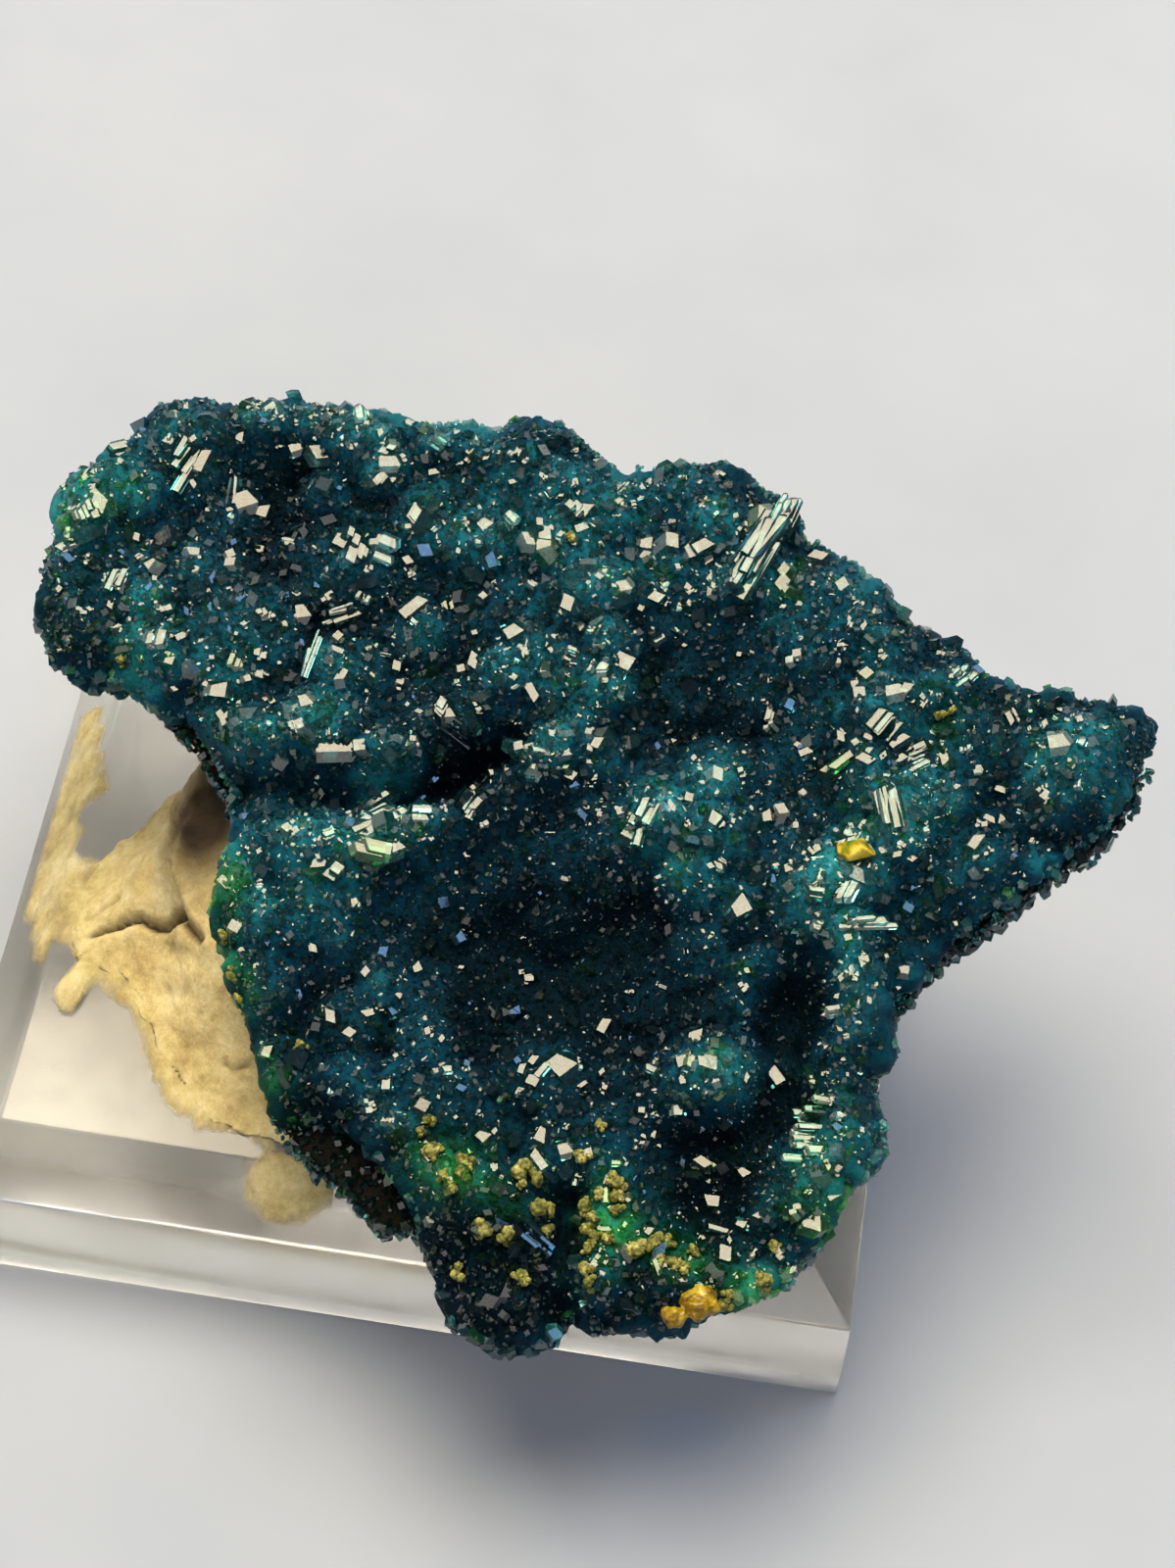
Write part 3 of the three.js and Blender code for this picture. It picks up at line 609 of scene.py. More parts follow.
# The crust's bed: the lower part of the druse, where the crystals have grown into one dark
# teal mass over the rock and round its rim. It swells in knobs, each a bunch of crystals.
knob_draw = np.random.default_rng(11)
KNOBS = [
    (ku + knob_draw.uniform(-0.9, 0.9), kv + knob_draw.uniform(-0.9, 0.9),
     knob_draw.uniform(0.8, 1.9), knob_draw.uniform(0.1, 0.95))
    for ku in np.arange(-19, 20, 2.0)
    for kv in np.arange(-17, 18, 2.0)
]


def knob_rise(u, v):
    """How far the knobs stand over the crust's even face."""
    rise = np.zeros(np.shape(u))
    for ku, kv, wide, up in KNOBS:
        away = ((u - ku) ** 2 + (v - kv) ** 2) / wide ** 2
        rise = np.maximum(rise, up * np.sqrt(np.clip(1 - away, 0, 1)))
    return rise


# The bed lies this far under the crust's face, and is nowhere thinner than this on the rock.
BED_SUNK = 0.75
BED_LEAST = 0.25


def bed_top(u, v):
    """Height of the bed that the crystal tips stand on."""
    inward = np.clip(path_distance(u, v, CRUST_EDGE, True) / 1.2, 0.5, 1)
    height = crust_top(u, v) - BED_SUNK + knob_rise(u, v) * inward
    return np.maximum(height, rock_top(u, v) + BED_LEAST) + 0.07 * lumps(u, v, 0.45, 12)


def height_at(surface, spot):
    """Height of a surface at one spot."""
    return float(surface(np.array([spot[0]]), np.array([spot[1]]))[0])


BED_BOTTOM = -2.4
BED_THICK = 3.4


def waist(lift):
    """How far the crust's side draws in at this share of its height."""
    return 1 - 0.03 * np.abs(lift - 0.8)


def side_bulge(u, v, w):
    """How far the knobs on the crust's side stand out."""
    coarse = np.abs(lumps(u + 0.6 * w, v - 0.8 * w, 0.8, 16))
    return 0.45 * coarse + 0.2 * np.abs(lumps(u - w, v + w, 0.4, 17)) - 0.08


bed = slab_piece("crystal_bed", CRUST_EDGE, BED_THICK, BED_BOTTOM + BED_THICK / 2, voxel=0.24)
u, v, w = vertices_of(bed).T
share = np.clip((w - BED_BOTTOM) / BED_THICK, 0, 1)
draw_in = waist(share) - 0.011 + 0.006 * lumps(u * 1.3 + w, v * 1.3 - w, 0.8, 13)
u, v = u * draw_in, v * draw_in
top = bed_top(u, v)
w = np.minimum(BED_BOTTOM, top - 0.5) * (1 - share) + top * share
facing = vertices_of(bed, "normal")
beside = np.clip(1.3 * np.hypot(facing[:, 0], facing[:, 1]), 0, 1)
side_knobs = side_bulge(u, v, w)
bulged = np.stack([u, v, w], axis=1) + facing * (beside * side_knobs)[:, None]
move_vertices(bed, to_world(bulged))
bed.data.shade_smooth()


def mottled(finish, pattern, share, label):
    """A share of a pattern, added to a number that is stored at the corner points."""
    parts = {0: pattern, 2: marked(finish, label)}
    return add_node(finish, "Math", {1: share}, parts, operation="MULTIPLY_ADD").outputs["Value"]


def dioptase_finish(name, sockets, blues, greens, polish):
    """Dioptase in two rows of colours, from dark to light, that the green mark and the mark of
    painted light and shade mix.
    """
    finish = new_finish(name, {"IOR": 1.68, **sockets})
    level = mottled(finish, noise(finish, 1100.0, 5.0, 0.65), 0.45, "tone_and_painted_light")
    steps = (0.22, 0.45, 0.70, 1.0)
    blue, leaf = (ramp(finish, level, list(zip(steps, row))) for row in (blues, greens))
    feed(finish, "Base Color", blend(finish, marked(finish, "green"), blue, leaf))
    etched = mottled(finish, noise(finish, 2600.0, 3.0, 0.5), 0.5, "dull")
    feed(finish, "Roughness", spread(finish, etched, (0.2, 1.3), polish))
    return finish


# Patches of the druse that grew greener; patches painted darker, most of them hollows given
# painted shade; and patches made lighter, partly lighter crystals and partly painted light on
# ridges and knobs: middle, half-width and how much.
GREENER = [
    (-0.1, -12.8, 0.9, 1.1), (2.6, -13.9, 1.0, 1.0), (4.4, -15.3, 1.2, 0.9),
    (-3.0, -12.4, 0.9, 0.7), (-5.6, -10.4, 1.3, 0.7), (7.0, -12.6, 1.6, 0.6), (3.9, -7.4, 0.8, 0.3),
    (-0.5, -3.7, 0.35, 1.2), (4.9, -4.4, 0.3, 1.1), (-11.6, -7.0, 1.3, 1.0),
    (-12.6, -2.6, 0.9, 0.9), (-15.8, 7.4, 1.2, 0.45), (12.3, 3.7, 0.8, 0.6), (14.5, 3.9, 1.2, 0.3),
    (-10.4, -8.4, 1.0, 0.8), (-11.9, -4.6, 0.8, 0.9), (-12.4, -0.4, 0.8, 0.9),
    (0.0, -12.8, 0.8, 0.9), (4.1, -15.5, 0.7, 0.6), (-18.3, 9.2, 1.4, 0.5), (-17.8, 13.4, 1.6, 0.3),
    (-12.8, 4.6, 1.2, 0.3), (7.8, -9.0, 1.5, 0.3), (-4.6, -11.2, 2.0, 0.45),
    (1.4, -13.4, 2.6, 0.45), (-12.5, -1.4, 0.8, 0.9), (-12.3, -3.7, 0.8, 0.9),
]
DARKER_AND_PAINTED_SHADE = [
    (-3.3, -15.2, 2.2, 0.34), (-4.6, -13.0, 1.5, 0.36), (-1.0, -13.4, 0.7, 0.40),
    (1.3, -15.2, 1.2, 0.35), (-3.0, -3.6, 3.2, 0.22), (1.5, -3.8, 2.6, 0.20),
    (6.6, -6.0, 1.2, 0.50), (5.9, -9.0, 0.9, 0.50), (3.6, -11.6, 1.9, 0.42),
    (-10.4, 12.6, 2.6, 0.16), (4.6, 5.2, 3.2, 0.16), (-4.2, 2.7, 1.3, 0.35),
    (-9.2, -9.2, 1.6, 0.25), (-8.0, 7.4, 3.5, 0.10), (-7.0, -11.0, 1.4, 0.20),
    (-2.4, -6.2, 3.0, 0.12), (-9.6, -4.4, 1.6, 0.10), (-3.4, -14.6, 1.8, 0.20),
]
LIGHTER_AND_PAINTED_LIGHT = [
    (-10.3, -2.0, 1.6, 0.18), (-7.0, 0.6, 2.4, 0.14), (3.4, 0.3, 2.2, 0.20), (7.8, -2.2, 1.4, 0.16),
    (9.9, 1.0, 1.5, 0.14), (-17.2, 12.0, 2.2, 0.06), (-14.5, 14.5, 2.0, 0.05),
    (0.0, 5.6, 1.6, 0.15), (3.9, -8.0, 1.2, 0.16), (8.3, -10.2, 1.6, 0.06), (6.2, 10.0, 1.6, 0.16),
    (-7.5, -9.2, 1.3, 0.10), (-0.1, -12.8, 0.7, 0.30), (2.6, -13.8, 0.8, 0.25),
    (4.6, -15.1, 0.9, 0.30), (-5.4, -10.4, 1.0, 0.15), (-12.6, -3.0, 0.9, 0.20),
    (-11.8, -6.8, 0.9, 0.16), (-4.4, -11.0, 1.6, 0.12), (1.6, -13.8, 1.6, 0.14),
]


def patchwork(u, v, patches):
    """The sum of round patches that fade out at their edges."""
    total = np.zeros(np.shape(u))
    for cu, cv, wide, much in patches:
        total += much * np.exp(-((u - cu) ** 2 + (v - cv) ** 2) / wide ** 2)
    return total


def greenness(u, v):
    """How green the crystals are at each point of the plate."""
    return np.clip(0.14 + patchwork(u, v, GREENER) + 0.12 * lumps(u, v, 1.3, 14), 0, 1)


def green_ones(u, v, draw):
    """How green each single crystal is: where the druse is greener, more of them are."""
    chosen = draw.random(len(u)) < greenness(u, v) ** 1.3
    return np.clip(np.where(chosen, 0.85, 0.12) + draw.normal(0, 0.08, len(u)), 0, 1)


def painted_light_and_shade(u, v):
    """Painted light and shade in the crystals' colour: lighter on ridges and knobs, nearly black in
    the hollows.
    """
    raised = 0.07 * crust_top(u, v) + 0.30 * (knob_rise(u, v) - 0.35)
    patches = patchwork(u, v, LIGHTER_AND_PAINTED_LIGHT) - patchwork(u, v, DARKER_AND_PAINTED_SHADE)
    return np.clip(0.25 + raised + patches + 0.07 * lumps(u, v, 2.2, 15), 0, 0.6)


# Painted light and shade in the bed's colour: lighter on ridges and knobs and where knobs stand out
# on the side, darker in the hollows.
mark_points(bed, "tone_and_painted_light", painted_light_and_shade(u, v) - 0.03 + 0.10 * beside * side_knobs)
patchy = 1 + 0.5 * lumps(u, v, 0.28, 18)
greened = patchy * (0.25 * greenness(u, v) + 0.5 * greenness(u, v) ** 2)
mark_points(bed, "green", np.clip(greened, 0, 1))
mark_points(bed, "dull", np.full(len(u), 0.6))
finish = dioptase_finish(
    "dioptase_bed",
    {
        "Specular IOR Level": 0.12, "Specular Tint": (0.25, 0.70, 0.85, 1),
        "Subsurface Weight": 0.3, "Subsurface Scale": 0.0006, "Subsurface Radius": (0.3, 0.9, 1.0),
    },
    [(0.0006, 0.005, 0.013), (0.0032, 0.040, 0.078), (0.016, 0.172, 0.235), (0.08, 0.47, 0.56)],
    [(0.0010, 0.010, 0.005), (0.005, 0.060, 0.026), (0.026, 0.22, 0.075), (0.12, 0.50, 0.17)],
    (0.2, 0.5),
)
crumbs = noise(finish, 2800.0, 6.0, 0.7)
bump(finish, crumbs, 0.00015)
bed.data.materials.append(finish)
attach(bed, "root")
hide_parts("dioptase_crust")


# The druse: thousands of short six-sided dioptase prisms, each closed by three rhomb faces,
# grown close together all over the bed, in layers of several sizes on its face and its sides.
# One prism is modelled, and every crystal copies it.
TIP_DROP = 0.62
bpy.ops.mesh.primitive_cylinder_add(
    vertices=6, radius=1, depth=1, end_fill_type="NGON", location=(0, 0, 0.5)
)
prism = bpy.context.object
prism.name = "one_prism"
bpy.ops.object.transform_apply(location=True, rotation=True, scale=True)
bpy.ops.object.mode_set(mode="EDIT")
bpy.ops.mesh.select_all(action="DESELECT")
bpy.ops.object.mode_set(mode="OBJECT")
for face in prism.data.polygons:
    face.select = face.normal.z > 0.9
bpy.ops.object.mode_set(mode="EDIT")
bpy.ops.mesh.select_mode(type="FACE")
bpy.ops.mesh.poke()
bpy.ops.object.mode_set(mode="OBJECT")
for vertex in prism.data.vertices:
    if vertex.co.z > 0.9 and math.hypot(vertex.co.x, vertex.co.y) > 0.5:
        sixth = round(math.degrees(math.atan2(vertex.co.y, vertex.co.x)) / 60 - 0.5)
        vertex.co.z = 1 - TIP_DROP * (1 + sixth % 2)
bpy.ops.object.mode_set(mode="EDIT")
bpy.ops.mesh.select_all(action="SELECT")
bpy.ops.mesh.dissolve_limited(angle_limit=math.radians(2))
bpy.ops.mesh.normals_make_consistent(inside=False)
bpy.ops.object.mode_set(mode="OBJECT")
PRISM_POINTS = vertices_of(prism)
PRISM_FACES = [list(face.vertices) for face in prism.data.polygons]
# The faces that can catch the light: three on the tip and six round the side.
PRISM_NORMALS = np.array([tuple(f.normal) for f in prism.data.polygons if f.normal.z > -0.5])
RHOMB_NORMAL = next(normal for normal in PRISM_NORMALS if normal[2] > 0.3)
bpy.data.objects.remove(prism)


def unit(vectors):
    """The same directions at length one."""
    return vectors / np.linalg.norm(vectors, axis=-1, keepdims=True)


def square_to(axes, turns):
    """A direction square to each axis, turned about it."""
    helper = np.where(np.abs(axes[:, 2:]) < 0.9, [[0.0, 0.0, 1.0]], [[1.0, 0.0, 0.0]])
    one = unit(np.cross(axes, helper))
    return one * np.cos(turns)[:, None] + np.cross(axes, one) * np.sin(turns)[:, None]


def any_front(axes, draw):
    """A chance direction square to each axis."""
    return square_to(axes, draw.uniform(0, math.tau, len(axes)))


def strayed(ways, degrees, draw):
    """The same directions, each a little off by chance, about this many degrees."""
    return unit(ways + draw.normal(0, math.tan(math.radians(degrees)), ways.shape))


def radii_in(sizes, power, count, draw):
    """Radii between a small and a large one, more of them small."""
    small, large = sizes
    return small + (large - small) * draw.random(count) ** power


def copies_of(points, faces, frames, spots, name):
    """One mesh of many copies of a form, each with its own three directions and place."""
    count, corners = len(spots), points.shape[-2]
    spread_out = np.broadcast_to(points, (count, corners, 3))
    placed = np.einsum("nij,nki->nkj", frames, spread_out) + spots[:, None, :]
    loops = np.concatenate([np.array(face) for face in faces])
    starts = np.cumsum([0] + [len(face) for face in faces[:-1]])
    steps = np.arange(count)[:, None]
    mesh = bpy.data.meshes.new(name)
    mesh.vertices.add(count * corners)
    mesh.vertices.foreach_set("co", to_world(placed.reshape(-1, 3)).astype(np.float32).ravel())
    mesh.loops.add(count * len(loops))
    mesh.loops.foreach_set("vertex_index", (loops + steps * corners).astype(np.int32).ravel())
    mesh.polygons.add(count * len(starts))
    mesh.polygons.foreach_set("loop_start", (starts + steps * len(loops)).astype(np.int32).ravel())
    mesh.update(calc_edges=True)
    mesh.validate()
    thing = bpy.data.objects.new(name, mesh)
    bpy.context.scene.collection.objects.link(thing)
    return thing


def three_ways(grown):
    """Each crystal's own front, side and axis."""
    front, axis = grown["front"], grown["axis"]
    return np.stack([front, np.cross(axis, front), axis], axis=1)


def crystal_piece(name, grown, glass):
    """One mesh of prisms, each rooted at its spot, with one side square to its front."""
    x, y, z = PRISM_POINTS.T
    radius, length, flat = (grown[key][:, None] for key in ("radius", "length", "flat"))
    along = np.where(np.abs(z) > 0.01, length + (z - 1) * radius, 0)
    shaped = np.stack([x * radius * flat, y * radius / flat, along], axis=-1)
    thing = copies_of(shaped, PRISM_FACES, three_ways(grown), grown["spot"], name)
    thing.data.shade_flat()
    for label in ("tone_and_painted_light", "green", "dull"):
        mark_points(thing, label, np.repeat(grown[label], len(z)))
    thing.data.materials.append(glass)
    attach(thing, "root")


def strewn(step, edge, margin, draw):
    """Points strewn evenly within an edge, this far in from it."""
    across, away = np.meshgrid(np.arange(-19.6, 20, step), np.arange(-17, 18, step))
    u = (across + draw.uniform(-0.5, 0.5, across.shape) * step).ravel()
    v = (away + draw.uniform(-0.5, 0.5, away.shape) * step).ravel()
    keep = within(u, v, edge) & (path_distance(u, v, edge, True) > margin)
    return u[keep], v[keep]


def slope_of(surface, u, v):
    """Which way a surface faces at each point."""
    step = 0.12
    return unit(np.stack([
        surface(u - step, v) - surface(u + step, v),
        surface(u, v - step) - surface(u, v + step),
        np.full(np.shape(u), 2 * step),
    ], axis=1))


def toward_lamp(spots, lamp_at):
    """The way a face has to look to mirror a lamp to whoever looks down on the specimen."""
    into_plate = PLATE.inverted()
    eye = np.array(into_plate @ camera.location)
    lamp_spot = np.array(into_plate @ Vector(lamp_at))
    return unit(unit(eye - spots) + unit(lamp_spot - spots))


def flattened(normals, flat):
    """The way that faces look once a crystal is pressed flatter across its front."""
    return unit(normals * np.stack([1 / flat, flat, np.ones(len(flat))], axis=1))


def mirrors(grown, lamp_at, window):
    """Whether any face of each crystal mirrors a lamp, within a window in degrees."""
    way = np.einsum("nij,nj->ni", three_ways(grown), toward_lamp(grown["spot"], lamp_at))
    nearest = np.full(len(way), -1.0)
    for normal in PRISM_NORMALS:
        nearest = np.maximum(nearest, np.sum(flattened(normal, grown["flat"]) * way, axis=1))
    return nearest > math.cos(math.radians(window))


# In degrees: how far the crystals that are turned to a lamp stray from mirroring it, and how
# far from mirroring the warm one the plain crystals are kept.
LIT_WOBBLE = 5
PLAIN_WINDOW = 14.5


def turn_to_light(grown, chosen, lying, lamp_at, draw):
    """Turns the chosen crystals so that a tip face, or a side if they lie, mirrors a lamp."""
    axes = grown["axis"]
    way = strayed(toward_lamp(grown["spot"], lamp_at), LIT_WOBBLE, draw)
    aside = unit(axes - way * np.sum(axes * way, axis=1, keepdims=True))
    rhomb = flattened(RHOMB_NORMAL, grown["flat"])
    tilted = way * rhomb[:, 2:] + aside * np.sqrt(1 - rhomb[:, 2:] ** 2)
    toward = unit(way - tilted * np.sum(way * tilted, axis=1, keepdims=True))
    turn = np.arctan2(rhomb[:, 1], rhomb[:, 0])[:, None]
    turned = toward * np.cos(turn) - np.cross(tilted, toward) * np.sin(turn)
    on_tip, on_side = (chosen & ~lying)[:, None], (chosen & lying)[:, None]
    grown["axis"] = np.where(on_tip, tilted, np.where(on_side, aside, axes))
    grown["front"] = np.where(on_tip, turned, np.where(on_side, way, grown["front"]))


# A plain crystal that still mirrors the lamp is nudged again, up to this many times.
TRIES = 10
NUDGE = 0.22


def turn_from_light(grown, plain, draw):
    """Turns those plain crystals that would mirror the warm lamp by chance away from it."""
    for _ in range(TRIES):
        caught = plain & mirrors(grown, KEY_AT, PLAIN_WINDOW)
        nudged = unit(grown["axis"] + draw.normal(0, NUDGE, grown["axis"].shape))
        spun = any_front(nudged, draw)
        grown["axis"] = np.where(caught[:, None], nudged, grown["axis"])
        grown["front"] = np.where(caught[:, None], spun, grown["front"])


# Of the lit crystals, the share that lie on a side, and for each warm one, the cool ones.
LYING_SHARE = 0.45
COOL_SHARE = 0.09


def light_up(grown, bright, draw):
    """Lets a share of the crystals catch the warm lamp, and a few of them the cool one."""
    u, v, _ = grown["spot"].T
    pick = draw.random(len(u))
    lying = draw.random(len(u)) < LYING_SHARE
    raised = np.clip(3.4 * (painted_light_and_shade(u, v) - 0.04), 0.02, 1.4)
    share = bright * raised + bright * patchwork(u, v, SPARKLING)
    warm, cool = pick < share, pick > 1 - COOL_SHARE * share
    turn_to_light(grown, warm, lying, KEY_AT, draw)
    turn_to_light(grown, cool, lying, COOL_AT, draw)
    turn_from_light(grown, ~(warm | cool), draw)
    return warm


def grown_beside(grown, hosts, draw):
    """Gives the host crystals one to four neighbours that grew parallel to them."""
    host = np.repeat(np.flatnonzero(hosts), draw.integers(1, 5, hosts.sum()))
    more = {key: values[host] for key, values in grown.items()}
    offset = draw.uniform(-1.5, 1.5, (len(host), 2)) * more["radius"][:, None]
    front, beside, axis = np.swapaxes(three_ways(more), 0, 1)
    more["spot"] = more["spot"] + front * offset[:, :1] + beside * offset[:, 1:]
    more["spot"] += axis * (draw.uniform(-0.5, 0.3, len(host)) * more["radius"])[:, None]
    more["radius"] = more["radius"] * draw.uniform(0.45, 0.95, len(host))
    return {key: np.concatenate([values, more[key]]) for key, values in grown.items()}


# Dark places where small faces glitter all the same: middle, half-width and how much.
SPARKLING = [
    (3.7, -12.3, 1.7, 0.9), (1.6, -9.4, 1.4, 0.5), (-16.0, 12.0, 2.5, 0.2), (5.5, 9.6, 2.0, 0.4),
    (10.0, 1.5, 1.8, 0.6), (7.4, -10.0, 1.2, 0.5), (-7.2, 1.4, 1.2, 0.6), (-2.0, -4.5, 3.4, 0.30),
    (5.0, 4.2, 3.4, 0.25), (-6.0, 6.5, 4.0, 0.22), (-1.8, -8.4, 2.6, 0.30),
]


# The share of a crystal's length that is sunk, on the face, on the sides and on the ledge.
FACE_ROOTS = 0.45
SIDE_ROOTS = 0.62
LEDGE_ROOTS = 0.5
# The share of the lit crystals that have others beside them, and the shares left to chance.
BUNCHED_SHARE = 0.4
SIDE_LIT_SHARE = 0.03
LEDGE_LIT_SHARE = 0.04
EDGE_MARGIN = 0.15


def face_layer(name, half, step, sizes, stretch, splay, bright, seed):
    """One layer of crystals over the crust's face, or over its left or right half."""
    draw = np.random.default_rng(seed)
    u, v = strewn(step, CRUST_EDGE, EDGE_MARGIN, draw)
    keep = {"left": u < -1, "right": u >= -1, "all": u < 99}[half]
    u, v = u[keep], v[keep]
    count = len(u)
    radius = radii_in(sizes, 2.5, count, draw)
    radius = radius * (1 + 0.2 * np.clip(crust_top(u, v), -1.5, 1))
    axis = strayed(slope_of(bed_top, u, v), splay, draw)
    grown = {
        "spot": np.stack([u, v, bed_top(u, v)], axis=1),
        "axis": axis, "front": any_front(axis, draw),
        "radius": radius, "length": radius * draw.uniform(*stretch, count),
        "flat": draw.uniform(0.62, 1.1, count),
        # The crystals take the painted light and shade of the face as their colour, with a little
        # chance in it.
        "tone_and_painted_light": np.clip(painted_light_and_shade(u, v) + draw.normal(0, 0.05, count), 0, 1),
        "green": green_ones(u, v, draw),
        "dull": draw.random(count) ** 2,
    }
    warm = light_up(grown, bright, draw)
    grown["spot"] = grown["spot"] - grown["axis"] * (grown["length"] * FACE_ROOTS)[:, None]
    in_bunches = warm & (draw.random(count) < BUNCHED_SHARE)
    crystal_piece(name, grown_beside(grown, in_bunches, draw), clear_glass)


def rim_layer(name, edge, rows, sizes, stretch, splay, tone_and_painted_light, glass, seed):
    """Crystals on the side of the plate, in rows between two heights along an edge."""
    draw = np.random.default_rng(seed)
    step, low, high = rows
    spots, axes = [], []
    for (au, av), (bu, bv) in zip(edge, np.roll(edge, -1, axis=0)):
        length = math.hypot(bu - au, bv - av)
        outward = np.array([(av - bv) / length, (bu - au) / length])
        top = min(high, height_at(bed_top, ((au + bu) / 2, (av + bv) / 2)) + 0.1)
        for row in np.arange(low, top, step):
            for share in np.arange(0.5 * step / length, 1, step / length):
                share = share + draw.uniform(-0.4, 0.4) * step / length
                w = row + draw.uniform(-0.4, 0.4) * step
                lift = np.clip((w - BED_BOTTOM) / BED_THICK, 0, 1)
                tuck = waist(lift)
                spots.append(((au + (bu - au) * share) * tuck, (av + (bv - av) * share) * tuck, w))
                axes.append((*outward, 1.1 * lift - 0.3))
    count = len(spots)
    radius = radii_in(sizes, 2, count, draw)
    length = radius * draw.uniform(*stretch, count)
    axis = strayed(unit(np.array(axes)), splay, draw)
    spot = np.array(spots)
    if edge is CRUST_EDGE:
        stand_out = 0.8 * np.clip(side_bulge(*spot.T), 0, 0.4)
        spot[:, :2] += np.array(axes)[:, :2] * stand_out[:, None]
    spot = spot - axis * (length * SIDE_ROOTS)[:, None]
    u, v, w = spot.T
    # Painted light: the side crystals are coloured lighter higher up, and take the painted light
    # and shade of the face above them.
    side_tone_and_painted_light = (tone_and_painted_light + 0.06 * w) * np.clip(4 * painted_light_and_shade(u, v), 0.1, 1)
    grown = {
        "spot": spot, "axis": axis, "front": any_front(axis, draw),
        "radius": radius, "length": length, "flat": draw.uniform(0.7, 1.1, count),
        "tone_and_painted_light": np.clip(side_tone_and_painted_light + 0.5 * painted_light_and_shade(u, v) + draw.normal(0, 0.06, count), 0, 1),
        "green": green_ones(u, v, draw),
        "dull": draw.random(count) ** 1.3,
    }
    turn_from_light(grown, draw.random(count) > SIDE_LIT_SHARE, draw)
    crystal_piece(name, grown, glass)


def ledge_layer(name, step, sizes, seed):
    """Small dark crystals on the rock where it stands out from under the crust."""
    draw = np.random.default_rng(seed)
    u, v = strewn(step, ROCK_EDGE, 0.0, draw)
    outside = ~within(u, v, CRUST_EDGE)
    u, v = u[outside], v[outside]
    count = len(u)
    radius = radii_in(sizes, 2, count, draw)
    length = radius * draw.uniform(1.6, 2.6, count)
    axis = unit(np.array([-0.4, -0.4, 1.0]) + draw.normal(0, 0.5, (count, 3)))
    spot = np.stack([u, v, rock_top(u, v)], axis=1) - axis * (length * LEDGE_ROOTS)[:, None]
    grown = {
        "spot": spot, "axis": axis, "front": any_front(axis, draw),
        "radius": radius, "length": length, "flat": draw.uniform(0.7, 1.1, count),
        "tone_and_painted_light": np.clip(draw.normal(-0.08, 0.06, count), 0, 1),
        "green": draw.uniform(0.1, 0.6, count),
        "dull": draw.random(count),
    }
    turn_from_light(grown, draw.random(count) > LEDGE_LIT_SHARE, draw)
    crystal_piece(name, grown, clear_glass)


def dioptase_glass(name, clearness):
    """Dioptase that light goes through, down to the bed, clear or a little milky."""
    finish = dioptase_finish(
        name, {"Specular IOR Level": 0.27, "Transmission Weight": clearness},
        [(0.025, 0.11, 0.17), (0.07, 0.28, 0.36), (0.16, 0.47, 0.54), (0.32, 0.71, 0.74)],
        [(0.02, 0.15, 0.055), (0.07, 0.37, 0.12), (0.18, 0.62, 0.19), (0.40, 0.88, 0.31)],
        (0.02, 0.24),
    )
    lighten_shadow(finish, 0.35)
    return finish


clear_glass = dioptase_glass("clear_dioptase", 0.97)
milky_glass = dioptase_glass("milky_dioptase", 0.80)
face_layer("large_crystals", "all", 0.80, (0.14, 0.37), (1.8, 3.2), splay=26, bright=0.27, seed=21)
face_layer("middle_crystals", "all", 0.36, (0.08, 0.20), (1.9, 3.4), splay=30, bright=0.12, seed=22)
SMALL_HALVES = (("small_crystals_left", "left", 23), ("small_crystals_right", "right", 25))
for name, half, seed in SMALL_HALVES:
    face_layer(name, half, 0.25, (0.05, 0.12), (2.0, 4.0), splay=36, bright=0.10, seed=seed)
face_layer("fine_needles", "all", 0.36, (0.022, 0.055), (3.0, 8.0), splay=50, bright=0.60, seed=29)
RIM_ROWS, SMALL_ROWS, ROCK_ROWS = (0.40, -2.2, 2), (0.27, -2.2, 2), (0.55, -3.4, -1.3)
rim_layer(
    "rim_crystals", CRUST_EDGE, RIM_ROWS, (0.12, 0.34), (1.6, 2.3),
    splay=24, tone_and_painted_light=0.24, glass=milky_glass, seed=24,
)
rim_layer(
    "small_rim_crystals", CRUST_EDGE, SMALL_ROWS, (0.06, 0.15), (2.4, 3.8),
    splay=32, tone_and_painted_light=0.30, glass=milky_glass, seed=27,
)
rim_layer(
    "rock_side_crystals", ROCK_EDGE, ROCK_ROWS, (0.14, 0.34), (1.3, 1.9),
    splay=24, tone_and_painted_light=0.0, glass=clear_glass, seed=26,
)
ledge_layer("ledge_crystals", 0.27, (0.08, 0.22), seed=28)


# The leading crystals: the larger prisms and bundles of parallel blades that stand out of the
# druse, many of them with a face turned up to the light. All of them are one mesh.

